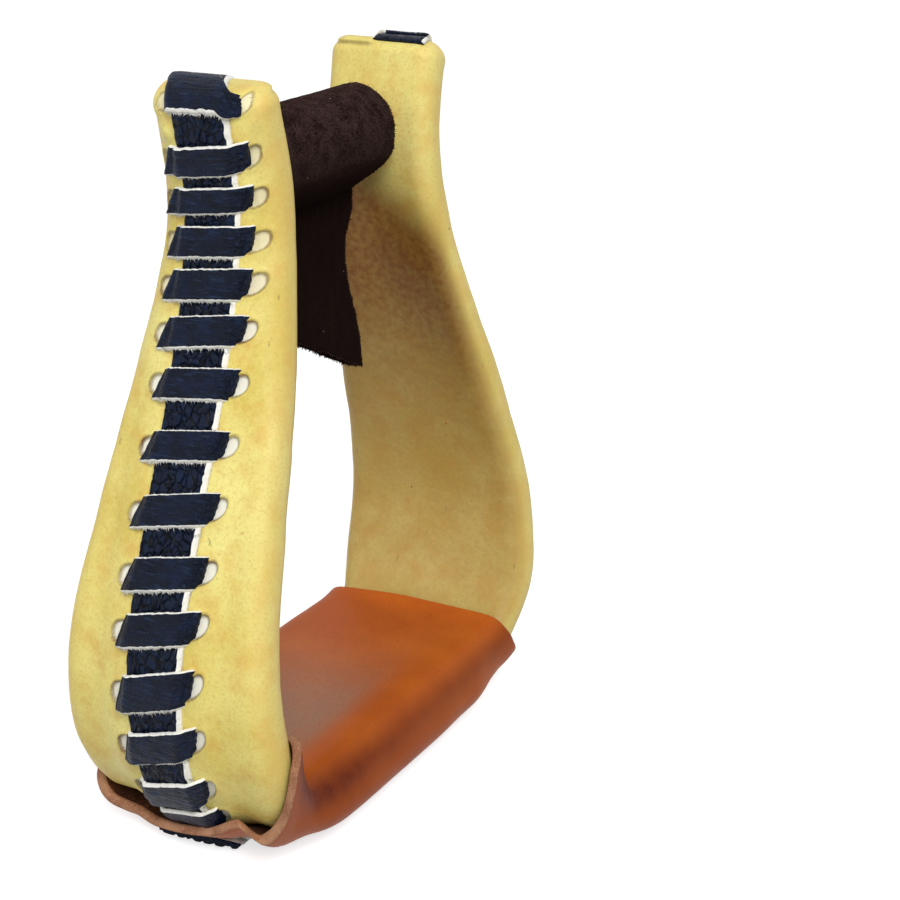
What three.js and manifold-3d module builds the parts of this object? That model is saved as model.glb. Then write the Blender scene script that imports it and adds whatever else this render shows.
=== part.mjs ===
// A western stirrup: a bentwood bow in a laced rawhide skin, a leather tread cover,
// and a bolt across the neck that carries a suede wrapped roller.
// Millimetres. X runs along the bolt, Y from edge to edge of a leg, Z up.
// The origin is on the floor under the middle of the tread.

import * as THREE from 'three';
import { mergeVertices } from 'three/addons/utils/BufferGeometryUtils.js';
import Module from 'manifold-3d';

// Driving sizes of the whole stirrup
const rawhideHeight = 195.5;    // floor to the rawhide fold on top of a leg
const neckGap = 63.2;           // clear width between the legs where the neck is narrowest
const footGap = 130.8;          // clear width where the legs stand furthest apart
const topDepth = 32.3;          // edge to edge over the rawhide at the leg tops
const heelDepth = 63.3;         // edge to edge over the rawhide above the tread
const clearance = 0.3;          // between pieces that lie against each other

// Bow and rawhide
const bowThickness = 8.8;
const bowRound = 3.5;
const hideThickness = 1.3;
const hideCrown = 2.0;          // how far the skin stands off the bow over the hidden lace
const hideEdgeMargin = 2.0;     // the crown dies out this far inside the skin's edge
const hideCrownReach = 19;      // and no further than this from the seam
const hideSeamGap = 1.2;
const hideFoldRound = 0.9;

// Laces and the straps under them
const strapWidth = 15.4;
const strapThickness = 1.4;
const strapFoldLap = 7.5;       // how far the strap lies over the top of a leg
const laceWidth = 8.2;
const laceThickness = 1.1;
const laceBunchedWidth = 4.6;   // the lace draws together where it goes through a slot
const laceHiddenWidth = 5.6;
const laceClearance = 0.42;     // the lace bridges the bends, so it lies a little looser
const laceTurn = 1.6;           // radius of its turn into a slot, at mid thickness
const laceTailLength = 4.0;
const laceBesideStrap = 3.7;    // from the strap's edge to the lace's middle in its slot
const slotHeight = 6.0;
const slotInset = 2.8;          // from the lace's middle in the slot to the slot's near end
const slotReach = 3.7;          // and to its far end
const slotEdgeMargin = 2.2;     // least rawhide left between a slot and the skin's edge
const rungCount = 15;
const evenRungCount = 3;        // rungs that keep the neck's pitch
const growingRungCount = 5;     // and those over which it grows to the heel's
const lowPitchRatio = 1.5;      // pitch at the heel over pitch at the neck
const firstRungDrop = 4.6;      // from the bow's top end to the middle of the first rung
const lastRungRise = 5.6;       // from the tread cover's mouth up to the last rung
const seamStrapTuck = 3.3;      // how far the strap runs in under the tread cover

// Tread cover, closed under the bar with its own strap and lace
const coverThickness = 2.4;
const coverCrown = 1.5;
const coverSeamGap = 1.2;
const mouthFlare = 3.6;         // how far the mouth hangs open under the heel
const mouthSideFlare = 0.9;
const mouthFlareLength = 11;
const treadRungCount = 7;
const treadStrapInset = 2.5;    // from the mouth to the strap's end
const treadRungInset = 14.2;    // from the strap's end to the middle of the end rung

// Bolt and roller
const boltDrop = 21;            // from the rawhide fold down to the bolt's axis
const boltDiameter = 8;
const boltHeadDiameter = 15.5;
const boltHeadThickness = 2.2;
const washerDiameter = 17;
const washerThickness = 1.2;
const recessPlay = 0.6;         // around the washer and the tee nut's flange
const headSink = 1.0;           // from the bow's face down to the bolt's head
const nutFlangeDiameter = 18;
const nutFlangeThickness = 1.5;
const nutSink = 1.1;            // from the bow's face down to the nut's flange
const nutBarrelDiameter = 11;
const nutBarrelInset = 1.0;     // from the bow's inner face to the end of the barrel
const rollerDiameter = 15;
const rollerSidePlay = 0.5;

// Suede round the roller, and the flap where its two ends hang together
const suedeNearGap = 2.1;       // from the near leg to the suede
const suedeFarGap = 8.1;
const wrapThickness = 3.8;      // the suede lies round the roller in two turns
const suedeThickness = 1.8;
const wrapTailLength = 8.0;     // from the wrap down to where the flap starts to swing
const flapHingeGap = 0.35;
const flapDropNear = 22.5;      // from the swing axis down to the flap's near lower corner
const flapDropFar = 47.9;       // and down to its far lower corner
const flapBow = 2.3;
const flapWaveShare = 5 / 6;    // of a full wave from the swing axis down to the lower edge
const flapWaveStartShare = 0.25;

// Where the rail through the middle of the bow passes, from a leg's top down to the bar:
// height up the leg, spread from neck to belly, depth from top to heel
const legHeightShares = [1, 0.856, 0.729, 0.602, 0.425, 0.296, 0.198, 0.1045, 0.052, 0.015, 0.002];
const legSpreadShares = [0.133, 0, 0.089, 0.299, 0.675, 0.92, 1, 0.93, 0.8, 0.63, 0.37];
const legDepthShares = [0, 0.035, 0.15, 0.377, 0.645, 0.83, 0.935, 1, 0.95, 0.87, 0.85];
const legRingCounts = [4, 3, 2, 2, 1, 2, 2, 2, 2, 2];
// and along the bar, as shares of half the spread of the belly
const barSpreadShares = [0.56, 0.28];
const barDepthShare = 0.842;
const barRingCounts = [1, 1, 1];
const mouthShare = 0.1;         // the cover's mouth, between the last two places on the leg

// Sizes that follow
const halfBow = bowThickness / 2;
const hideFace = halfBow + clearance + hideThickness;
const hideCrest = hideFace + hideCrown;
const strapSeat = hideCrest + clearance;
const strapFace = strapSeat + strapThickness;
const coverInside = hideFace + clearance;
const coverFace = coverInside + coverThickness;
const treadStrapSeat = coverFace + coverCrown + clearance;
const treadStrapFace = treadStrapSeat + strapThickness;
const barHeight = treadStrapFace + laceClearance + laceThickness;
const hideRound = bowRound + clearance + hideThickness;
const railTop = rawhideHeight - clearance - hideThickness;
const laceSlotPlace = strapWidth / 2 + laceBesideStrap;
const neckHalf = neckGap / 2 + hideFace;
const footHalf = footGap / 2 + hideFace;
const boltHeight = rawhideHeight - boltDrop;
const headRecessDepth = headSink + boltHeadThickness + washerThickness + clearance * 2;
const nutRecessDepth = nutSink + nutFlangeThickness + clearance;
const wrapRadius = rollerDiameter / 2 + clearance + wrapThickness;
const flapHingeDrop = wrapRadius + wrapTailLength;
const suedeNearEnd = suedeNearGap - neckGap / 2;
const suedeFarEnd = neckGap / 2 - suedeFarGap;

// Facets
const shankSides = 20;
const rollerSides = 24;
const discSides = 28;
const slotCorners = 8;
const cornerSteps = 2;
const stepsPerKnot = 40;
const halvings = 40;
const leastRingStep = 1.2;

const wasm = await Module();
wasm.setup();

// Surfaces

const suede = new THREE.MeshStandardMaterial({ color: 0x33241f, roughness: 0.95, metalness: 0 });
const rawhide = new THREE.MeshStandardMaterial({ color: 0xdcc679, roughness: 0.5, metalness: 0 });
const blackLeather = new THREE.MeshStandardMaterial({ color: 0x151b2b, roughness: 0.6, metalness: 0 });
const russetLeather = new THREE.MeshStandardMaterial({ color: 0xb5622b, roughness: 0.5, metalness: 0 });
const ashWood = new THREE.MeshStandardMaterial({ color: 0xc9a877, roughness: 0.7, metalness: 0 });
const zincSteel = new THREE.MeshStandardMaterial({ color: 0xa9adb2, roughness: 0.4, metalness: 1 });

// Closed skin through rings of points; an end ring is closed by a fan from its first point
function loft(rings) {
  const around = rings[0].length;
  const positions = rings.flat().flatMap((point) => point.toArray());
  const faces = [];
  for (let ring = 0; ring + 1 < rings.length; ring++) {
    for (let side = 0; side < around; side++) {
      const a = ring * around + side;
      const b = ring * around + (side + 1) % around;
      faces.push(a, b, b + around, a, b + around, a + around);
    }
  }
  const last = (rings.length - 1) * around;
  for (let side = 1; side + 1 < around; side++) {
    faces.push(0, side + 1, side, last, last + side, last + side + 1);
  }
  const geometry = new THREE.BufferGeometry();
  geometry.setAttribute('position', new THREE.Float32BufferAttribute(positions, 3));
  geometry.setIndex(signedVolume(positions, faces) < 0 ? faces.reverse() : faces);
  return geometry;
}

function signedVolume(positions, faces) {
  const corners = [new THREE.Vector3(), new THREE.Vector3(), new THREE.Vector3()];
  let sum = 0;
  for (let face = 0; face < faces.length; face += 3) {
    corners.forEach((corner, index) => corner.fromArray(positions, faces[face + index] * 3));
    sum += corners[0].dot(corners[1].cross(corners[2]));
  }
  return sum;
}

function toSolid(geometry) {
  const plain = geometry.clone();
  plain.deleteAttribute('normal');
  plain.deleteAttribute('uv');
  const merged = mergeVertices(plain);
  return new wasm.Manifold(new wasm.Mesh({
    numProp: 3,
    vertProperties: new Float32Array(merged.attributes.position.array),
    triVerts: new Uint32Array(merged.index.array),
  }));
}

function toGeometry(solid) {
  const mesh = solid.getMesh();
  const geometry = new THREE.BufferGeometry();
  geometry.setAttribute('position', new THREE.Float32BufferAttribute(mesh.vertProperties, 3));
  geometry.setIndex(Array.from(mesh.triVerts));
  return geometry;
}

function cutAway(geometry, cutters) {
  return toGeometry(cutters.reduce((left, cutter) => left.subtract(toSolid(cutter)), toSolid(geometry)));
}

// A rod on the bolt's axis
function rod(diameter, fromX, toX, sides) {
  const geometry = new THREE.CylinderGeometry(diameter / 2, diameter / 2, toX - fromX, sides);
  geometry.rotateZ(Math.PI / 2);
  geometry.translate((fromX + toX) / 2, 0, boltHeight);
  return geometry;
}

function smoothStep(share) {
  const held = THREE.MathUtils.clamp(share, 0, 1);
  return held * held * (3 - 2 * held);
}

// The rail: x and z are the bow's middle line, y is half the depth over the rawhide

function railPoint(side, spread, depthShare, height) {
  return new THREE.Vector3(side * spread, (topDepth + (heelDepth - topDepth) * depthShare) / 2, height);
}

function halfRail(side) {
  const leg = legHeightShares.map((share, index) => railPoint(
    side,
    neckHalf + (footHalf - neckHalf) * legSpreadShares[index],
    legDepthShares[index],
    barHeight + (railTop - barHeight) * share,
  ));
  const bar = barSpreadShares.map((share) => railPoint(side, footHalf * share, barDepthShare, barHeight));
  return leg.concat(bar);
}

const barMiddle = railPoint(0, 0, barDepthShare, barHeight);
const railPoints = [...halfRail(-1), barMiddle, ...halfRail(1).reverse()];
const rail = new THREE.CatmullRomCurve3(railPoints, false, 'centripetal');
rail.arcLengthDivisions = (railPoints.length - 1) * stepsPerKnot;
const railLength = rail.getLength();
const knotPlaces = railPoints.map((_, index) => rail.getLengths()[index * stepsPerKnot]);

// A place on the rail, with the directions along it and outward; past an end it runs on straight
function station(place) {
  const share = THREE.MathUtils.clamp(place / railLength, 0, 1);
  const along = rail.getTangentAt(share).setY(0).normalize();
  const middle = rail.getPointAt(share);
  const halfDepth = middle.y;
  middle.setY(0).addScaledVector(along, place - share * railLength);
  return { place, middle, along, halfDepth, out: new THREE.Vector3(along.z, 0, -along.x) };
}

function pointOn(at, across, outward) {
  return at.middle.clone().addScaledVector(at.out, outward).setY(across);
}

const ringCounts = [...legRingCounts, ...barRingCounts];
ringCounts.push(...ringCounts.slice().reverse());
const ringPlaces = [0];
ringCounts.forEach((count, span) => {
  const reach = knotPlaces[span + 1] - knotPlaces[span];
  for (let step = 1; step <= count; step++) {
    ringPlaces.push(knotPlaces[span] + reach * step / count);
  }
});

const mouthKnot = legHeightShares.length - 2;
const mouthPlace = THREE.MathUtils.lerp(knotPlaces[mouthKnot], knotPlaces[mouthKnot + 1], mouthShare);

function placesBetween(from, to) {
  const inside = ringPlaces.filter((place) => place > from + leastRingStep && place < to - leastRingStep);
  return [from, ...inside, to];
}

// Half the outline of a band around the bow, as [across, outward] pairs from the middle of the
// inner face to the middle of the outer face, where the crown stands up over the seam
const crownShares = [0.98, 0.82, 0.62];
const crownFlatness = 6;

function crownAt(across, crown, reach) {
  const share = reach > 0 ? Math.min(Math.abs(across) / reach, 1) : 1;
  return crown * (1 - share ** crownFlatness) ** 2;
}

function bandOutline(halfDepth, innerFace, outerFace, round, crown, crownReach) {
  const half = [];
  for (let step = 0; step <= cornerSteps; step++) {
    const turn = Math.PI / 2 * step / cornerSteps;
    half.push([halfDepth - round + round * Math.sin(turn), -innerFace + round - round * Math.cos(turn)]);
  }
  for (let step = 0; step <= cornerSteps; step++) {
    const turn = Math.PI / 2 * step / cornerSteps;
    half.push([halfDepth - round + round * Math.cos(turn), outerFace - round + round * Math.sin(turn)]);
  }
  const flat = halfDepth - round;
  half.forEach((pair) => {
    pair[1] += pair[1] > 0 ? crownAt(pair[0], crown, crownReach) : 0;
  });
  if (crownReach > 0) {
    crownShares.forEach((share) => {
      const across = Math.min(crownReach, flat) * share;
      half.push([across, outerFace + crownAt(across, crown, crownReach)]);
    });
  }
  const middle = crownReach > 0 ? [[0, outerFace + crown]] : [];
  return [...half, ...middle, ...half.slice().reverse().map(([across, outward]) => [-across, outward])];
}

function ringOf(at, outline) {
  return outline.map(([across, outward]) => pointOn(at, across, outward));
}

// Bentwood bow

function bowGeometry() {
  const rings = ringPlaces.map((place) => {
    const at = station(place);
    const halfDepth = at.halfDepth - hideThickness - clearance;
    return ringOf(at, bandOutline(halfDepth, halfBow, halfBow, bowRound, 0, 0));
  });
  const faceX = bowFaceX();
  const outside = faceX + hideCrest;
  const cutters = [
    rod(boltDiameter + clearance * 2, -outside, outside, shankSides),
    rod(washerDiameter + recessPlay * 2, -outside, headRecessDepth - faceX, discSides),
    rod(nutFlangeDiameter + recessPlay * 2, faceX - nutRecessDepth, outside, discSides),
    rod(nutBarrelDiameter + clearance * 2, faceX - bowThickness + nutBarrelInset - clearance, outside,
      shankSides),
  ];
  return cutAway(loft(rings), cutters);
}

// The leg's middle line on the bolt's axis, and the bow's outer face there
function legMiddleX() {
  let above = 0;
  let below = knotPlaces[legHeightShares.length - 1];
  for (let step = 0; step < halvings; step++) {
    const middle = (above + below) / 2;
    if (station(middle).middle.z > boltHeight) {
      above = middle;
    } else {
      below = middle;
    }
  }
  return -station(above).middle.x;
}

function bowFaceX() {
  return legMiddleX() + halfBow;
}

// Rawhide skin: one hide round the bow, its edges meeting down the middle of the outer face

function hideCrownAt(place) {
  const fromEnd = Math.min(place, railLength - place);
  return hideCrown * (1 - smoothStep((fromEnd - mouthPlace) / mouthFlareLength));
}

function hideRing(place, inset) {
  const at = station(place);
  const halfDepth = at.halfDepth - inset;
  const reach = Math.min(hideCrownReach, at.halfDepth - hideEdgeMargin);
  return ringOf(at, bandOutline(halfDepth, hideFace - inset, hideFace - inset,
    Math.max(hideRound - inset, bowRound), hideCrownAt(place), reach));
}

function legPlaces(side, places) {
  return places.map((place) => (side < 0 ? place : railLength - place));
}

function slotCutter(at, side, place, reachLimit, outside) {
  const near = place - slotInset;
  const far = Math.min(place + slotReach, reachLimit);
  const middle = (near + far) / 2;
  const halfLength = (far - near) / 2;
  const flats = Math.cos(Math.PI / slotCorners);
  const corners = Array.from({ length: slotCorners }, (_, corner) => {
    const turn = Math.PI * (corner * 2 + 1) / slotCorners;
    return [side * (middle + halfLength * Math.cos(turn) / flats), slotHeight / 2 * Math.sin(turn) / flats];
  });
  return loft([0, outside].map((outward) => corners.map(([across, lengthways]) => (
    pointOn(at, across, outward).addScaledVector(at.along, lengthways)))));
}

function hideGeometry() {
  const fold = clearance + hideThickness;
  const ends = [-fold, -fold + hideFoldRound];
  const outerPlaces = [...ends, ...ringPlaces.slice(1, -1), ...ends.map((end) => railLength - end).reverse()];
  const insets = outerPlaces.map((_, index) => (
    index === 0 || index === outerPlaces.length - 1 ? hideFoldRound : 0));
  const outer = loft(outerPlaces.map((place, index) => hideRing(place, insets[index])));
  const innerPlaces = [-clearance, ...ringPlaces.slice(1, -1), railLength + clearance];
  const inner = loft(innerPlaces.map((place) => hideRing(place, hideThickness)));
  const slit = loft(innerPlaces.map((place) => ringOf(station(place), [
    [-hideSeamGap / 2, 0],
    [hideSeamGap / 2, 0],
    [hideSeamGap / 2, strapSeat],
    [-hideSeamGap / 2, strapSeat],
  ])));
  const boltHole = rod(boltDiameter + clearance * 2, -legMiddleX(), legMiddleX(), shankSides);
  const slots = [-1, 1].flatMap((leg) => legPlaces(leg, legRungPlaces()).flatMap((place) => {
    const at = station(place);
    return [-1, 1].map((side) => (
      slotCutter(at, side, laceSlotPlace, at.halfDepth - slotEdgeMargin, strapSeat)));
  }));
  return cutAway(outer, [inner, slit, boltHole, ...slots]);
}

// Seam straps and laces

function legRungPlaces() {
  const weights = [];
  for (let rung = 1; rung < rungCount; rung++) {
    weights.push(1 + (lowPitchRatio - 1) * smoothStep((rung - evenRungCount) / growingRungCount));
  }
  const total = weights.reduce((sum, weight) => sum + weight, 0);
  const reach = mouthPlace - lastRungRise - firstRungDrop;
  const places = [firstRungDrop];
  weights.forEach((weight) => places.push(places.at(-1) + reach * weight / total));
  return places;
}

function treadRungPlaces() {
  const first = mouthPlace + treadStrapInset + treadRungInset;
  const places = [];
  for (let rung = 0; rung < treadRungCount; rung++) {
    places.push(THREE.MathUtils.lerp(first, railLength - first, rung / (treadRungCount - 1)));
  }
  return places;
}

// A flat strap: each step gives the seat's point and the way out from it
function strapGeometry(steps) {
  return loft(steps.map(({ seat, out }) => [0, strapThickness].flatMap((rise) => {
    const side = rise > 0 ? -1 : 1;
    return [side, -side].map((edge) => (
      seat.clone().addScaledVector(out, rise).setY(edge * strapWidth / 2)));
  })));
}

function seamStrapSteps() {
  const top = station(0);
  const fold = clearance * 2 + hideThickness;
  const up = top.along.clone().negate();
  const cornerCut = hideFoldRound * (1 - Math.SQRT1_2);
  const steps = [strapSeat - hideFoldRound - strapFoldLap, strapSeat - hideFoldRound].map((outward) => ({
    seat: pointOn(top, 0, outward).addScaledVector(up, fold),
    out: up,
  }));
  steps.push({
    seat: pointOn(top, 0, strapSeat - cornerCut).addScaledVector(up, fold - cornerCut),
    out: up.clone().add(top.out).normalize(),
  });
  placesBetween(0, mouthPlace + seamStrapTuck).forEach((place) => {
    const at = station(place);
    steps.push({ seat: pointOn(at, 0, hideFace + hideCrownAt(place) + clearance), out: at.out });
  });
  return steps;
}

function treadStrapSteps() {
  const start = mouthPlace + treadStrapInset;
  return placesBetween(start, railLength - start).map((place) => {
    const at = station(place);
    return { seat: pointOn(at, 0, treadStrapSeat + mouthFlare * mouthOpening(place)), out: at.out };
  });
}

// One lace, wound over the strap and back under the skin from rung to rung
function laceGeometry(places, seatUnder, seatOver) {
  const steps = [];
  const under = seatUnder + clearance + laceThickness / 2;
  const over = seatOver + laceClearance + laceThickness / 2;
  const flat = laceSlotPlace - laceTurn;
  const turnShares = [0, 0.5, 1];
  const bunchedShare = 0.5;
  const hiddenRunShares = [1 / 3, 2 / 3];
  const addStep = (place, across, outward, turn, width) => {
    steps.push({ place, across, outward, turn, width });
  };
  const turnInto = (place, side, level, wide, sign, order) => {
    order.forEach((share) => {
      const turn = Math.PI / 2 * share;
      addStep(place, side * (flat + laceTurn * Math.sin(turn)),
        level - sign * laceTurn * (1 - Math.cos(turn)), side * sign * turn,
        THREE.MathUtils.lerp(wide, laceBunchedWidth, Math.min(share / bunchedShare, 1)));
    });
  };
  const back = turnShares.slice().reverse();
  places.forEach((place, rung) => {
    if (rung === 0) {
      addStep(place, flat - laceTailLength, under, 0, laceHiddenWidth);
    }
    turnInto(place, 1, under, laceHiddenWidth, -1, turnShares);
    turnInto(place, 1, over, laceWidth, 1, back);
    turnInto(place, -1, over, laceWidth, 1, turnShares);
    turnInto(place, -1, under, laceHiddenWidth, -1, back);
    if (rung + 1 < places.length) {
      hiddenRunShares.forEach((share) => {
        const between = THREE.MathUtils.lerp(place, places[rung + 1], share);
        addStep(between, THREE.MathUtils.lerp(-flat, flat, share), under, 0, laceHiddenWidth);
      });
    } else {
      addStep(place, laceTailLength - flat, under, 0, laceHiddenWidth);
    }
  });
  // the winding's direction of travel turns over between the upper and the hidden runs
  return loft(steps.map(({ place, across, outward, turn, width }) => {
    const at = station(place);
    const acrossShift = Math.sin(turn) * laceThickness / 2;
    const outShift = Math.cos(turn) * laceThickness / 2;
    const flip = outward > (under + over) / 2 ? 1 : -1;
    return [[-1, flip], [1, flip], [1, -flip], [-1, -flip]].map(([end, face]) => (
      pointOn(at, across + face * acrossShift, outward + face * outShift)
        .addScaledVector(at.along, end * width / 2)));
  }));
}

// Tread cover: a leather sleeve round the bar, its seam underneath

function mouthOpening(place) {
  const fromMouth = Math.min(place, railLength - place) - mouthPlace;
  return Math.max(0, 1 - fromMouth / mouthFlareLength);
}

function coverRing(place, grow) {
  const at = station(place);
  const open = mouthOpening(place);
  const halfDepth = at.halfDepth + clearance + mouthSideFlare * open + grow;
  return ringOf(at, bandOutline(halfDepth, coverInside + grow, coverInside + mouthFlare * open + grow,
    hideRound + clearance + grow, coverCrown, hideCrownReach));
}

function coverGeometry() {
  const end = railLength - mouthPlace;
  const places = placesBetween(mouthPlace, end);
  const spill = clearance;
  const innerPlaces = [mouthPlace - spill, ...places.slice(1, -1), end + spill];
  const outer = loft(places.map((place) => coverRing(place, coverThickness)));
  const inner = loft(innerPlaces.map((place) => coverRing(place, 0)));
  const slit = loft(innerPlaces.map((place) => ringOf(station(place), [
    [-coverSeamGap / 2, 0],
    [coverSeamGap / 2, 0],
    [coverSeamGap / 2, treadStrapSeat + mouthFlare],
    [-coverSeamGap / 2, treadStrapSeat + mouthFlare],
  ])));
  const slots = treadRungPlaces().flatMap((place) => [-1, 1].map((side) => (
    slotCutter(station(place), side, laceSlotPlace, hideCrownReach, treadStrapSeat + mouthFlare))));
  return cutAway(outer, [inner, slit, ...slots]);
}

// Bolt, washer, tee nut and roller

function boltPieces() {
  const faceX = bowFaceX();
  const washerOut = headRecessDepth - faceX - clearance - washerThickness;
  const headIn = washerOut - clearance;
  const nutSeat = faceX - nutRecessDepth + clearance;
  const nutEnd = nutSeat + nutFlangeThickness;
  const barrelEnd = faceX - bowThickness + nutBarrelInset;
  const shank = rod(boltDiameter, headIn - boltHeadThickness / 2, nutEnd, shankSides);
  const head = rod(boltHeadDiameter, headIn - boltHeadThickness, headIn, discSides);
  const flange = rod(nutFlangeDiameter, nutSeat, nutEnd, discSides);
  const barrel = rod(nutBarrelDiameter, barrelEnd, nutEnd - clearance, shankSides);
  const washerBore = rod(boltDiameter + clearance * 2, headIn, -neckGap / 2, shankSides);
  const nutBore = rod(boltDiameter + clearance * 2, neckGap / 2, nutEnd + clearance, shankSides);
  return {
    bolt: toGeometry(toSolid(shank).add(toSolid(head))),
    washer: cutAway(rod(washerDiameter, washerOut, washerOut + washerThickness, discSides), [washerBore]),
    nut: toGeometry(toSolid(flange).add(toSolid(barrel)).subtract(toSolid(nutBore))),
  };
}

function rollerGeometry() {
  const half = neckGap / 2 - rollerSidePlay;
  const bore = rod(boltDiameter + clearance * 2, -neckGap, neckGap, shankSides);
  return cutAway(rod(rollerDiameter, -half, half, rollerSides), [bore]);
}

// Suede: a tear shape round the roller, then the flap of both layers together.
// Shares of the wrap's radius, from its crown down one side to the start of the tail
const wrapAcrossShares = [0, 0.38, 0.71, 0.93, 1.0, 0.99, 0.9, 0.72, 0.42];
const wrapHeightShares = [1, 0.92, 0.7, 0.38, 0.02, -0.36, -0.7, -1.0, -1.28];

function wrapGeometry() {
  const tailEnd = suedeThickness + flapHingeGap - flapHingeDrop;
  const side = wrapAcrossShares.map((share, index) => (
    [share * wrapRadius, wrapHeightShares[index] * wrapRadius]));
  side.push([suedeThickness, tailEnd]);
  const outline = [...side, ...side.slice(1).reverse().map(([across, rise]) => [-across, rise])];
  const shape = new THREE.Shape(outline.map(([across, rise]) => new THREE.Vector2(across, rise)));
  const geometry = new THREE.ExtrudeGeometry(shape, {
    depth: suedeFarEnd - suedeNearEnd, bevelEnabled: false,
  });
  geometry.rotateX(Math.PI / 2);
  geometry.rotateZ(Math.PI / 2);
  geometry.translate(suedeNearEnd, 0, boltHeight);
  return cutAway(geometry, [rod(rollerDiameter + clearance * 2, -neckGap, neckGap, rollerSides)]);
}

const flapLevels = 8;
const flapTopSteps = 4;
const flapRings = 5;

function flapGeometry() {
  const half = suedeThickness;
  const rings = [];
  for (let ring = 0; ring < flapRings; ring++) {
    const share = ring / (flapRings - 1);
    const x = THREE.MathUtils.lerp(suedeNearEnd, suedeFarEnd, share);
    const drop = THREE.MathUtils.lerp(flapDropNear, flapDropFar, share);
    const line = [];
    for (let level = 1; level <= flapLevels; level++) {
      const down = level / flapLevels;
      const wave = Math.sin(Math.PI * 2 * flapWaveShare * down) * smoothStep(down / flapWaveStartShare);
      line.push([flapBow * wave, -drop * down]);
    }
    const top = [];
    for (let step = 0; step <= flapTopSteps; step++) {
      const turn = Math.PI * step / flapTopSteps;
      top.push([half * Math.cos(turn), half * Math.sin(turn)]);
    }
    const outline = [
      ...line.slice().reverse().map(([across, rise]) => [across + half, rise]),
      ...top,
      ...line.map(([across, rise]) => [across - half, rise]),
    ];
    rings.push(outline.map(([across, rise]) => (
      new THREE.Vector3(x, across, boltHeight - flapHingeDrop + rise))));
  }
  return loft(rings);
}

// The stirrup, piece by piece

const stirrup = new THREE.Group();

function addPiece(name, geometry, material) {
  const mesh = new THREE.Mesh(geometry, material);
  mesh.name = name;
  stirrup.add(mesh);
}

const seamPlaces = legRungPlaces();
const seamStrap = strapGeometry(seamStrapSteps());
const seamLace = laceGeometry(seamPlaces, halfBow, strapFace);
const bolt = boltPieces();

function otherLeg(geometry) {
  const turned = geometry.clone();
  turned.rotateZ(Math.PI);
  return turned;
}

addPiece('bentwood_bow', bowGeometry(), ashWood);
addPiece('rawhide_cover', hideGeometry(), rawhide);
addPiece('seam_strap_left', seamStrap, blackLeather);
addPiece('seam_strap_right', otherLeg(seamStrap), blackLeather);
addPiece('seam_lace_left', seamLace, blackLeather);
addPiece('seam_lace_right', otherLeg(seamLace), blackLeather);
addPiece('tread_cover', coverGeometry(), russetLeather);
addPiece('tread_strap', strapGeometry(treadStrapSteps()), blackLeather);
addPiece('tread_lace', laceGeometry(treadRungPlaces(), hideFace, treadStrapFace), blackLeather);
addPiece('roller_bolt', bolt.bolt, zincSteel);
addPiece('bolt_washer', bolt.washer, zincSteel);
addPiece('tee_nut', bolt.nut, zincSteel);
addPiece('roller', rollerGeometry(), ashWood);
addPiece('suede_wrap', wrapGeometry(), suede);
addPiece('suede_flap', flapGeometry(), suede);

export default stirrup;
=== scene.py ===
# A western stirrup: laced rawhide over a bentwood bow, a leather tread and a suede wrapped roller.
# Shapes are worked out in millimetres and turned to metres when a mesh is made.
import bpy
import math
import random
import numpy as np
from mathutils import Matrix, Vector, noise


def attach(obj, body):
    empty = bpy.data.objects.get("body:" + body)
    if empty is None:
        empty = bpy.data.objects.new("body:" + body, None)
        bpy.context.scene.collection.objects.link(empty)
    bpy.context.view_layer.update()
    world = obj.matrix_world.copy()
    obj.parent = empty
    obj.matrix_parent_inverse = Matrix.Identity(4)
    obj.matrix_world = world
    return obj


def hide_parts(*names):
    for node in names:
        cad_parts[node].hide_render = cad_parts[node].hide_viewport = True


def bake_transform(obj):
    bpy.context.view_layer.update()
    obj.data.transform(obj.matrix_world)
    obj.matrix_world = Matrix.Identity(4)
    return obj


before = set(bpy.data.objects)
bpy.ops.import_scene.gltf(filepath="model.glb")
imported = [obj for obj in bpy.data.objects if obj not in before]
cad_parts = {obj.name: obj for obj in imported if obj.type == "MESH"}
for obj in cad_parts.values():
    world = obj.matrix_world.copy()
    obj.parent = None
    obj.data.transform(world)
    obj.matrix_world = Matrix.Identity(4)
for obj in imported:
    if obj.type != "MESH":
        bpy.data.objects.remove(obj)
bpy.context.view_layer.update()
mm = 0.001

# Camera, at the photograph's place
cameraSizes = {
    "lens": 76.1,
    "sensor": 36,
    "place": (-0.4154, -0.2583, 0.2665),
    "towards": (0.8327, 0.4365, -0.3407),
}


def makeCamera(sizes):
    data = bpy.data.cameras.new("camera")
    data.lens = sizes["lens"]
    data.sensor_width = sizes["sensor"]
    data.clip_start = 0.01
    camera = bpy.data.objects.new("camera", data)
    camera.location = sizes["place"]
    camera.rotation_mode = "QUATERNION"
    camera.rotation_quaternion = Vector(sizes["towards"]).to_track_quat("-Z", "Y")
    bpy.context.scene.collection.objects.link(camera)
    bpy.context.scene.camera = camera


makeCamera(cameraSizes)
print("camera placed")


def smoothStep(value, start=0, run=1):
    # 0 up to the start, 1 past the run, and smooth between
    held = np.clip((value - start) / run, 0, 1)
    return held * held * (3 - 2 * held)


def bell(value, middle, reach):
    return np.exp(-((value - middle) / reach) ** 2)


def stacked(*values):
    return np.stack(np.broadcast_arrays(*values), axis=-1)


def roundedReach(first, second, roundness):
    # 1 on the outline of a rounded box, less inside it
    return (np.abs(first) ** roundness + np.abs(second) ** roundness) ** (1 / roundness)


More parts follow.
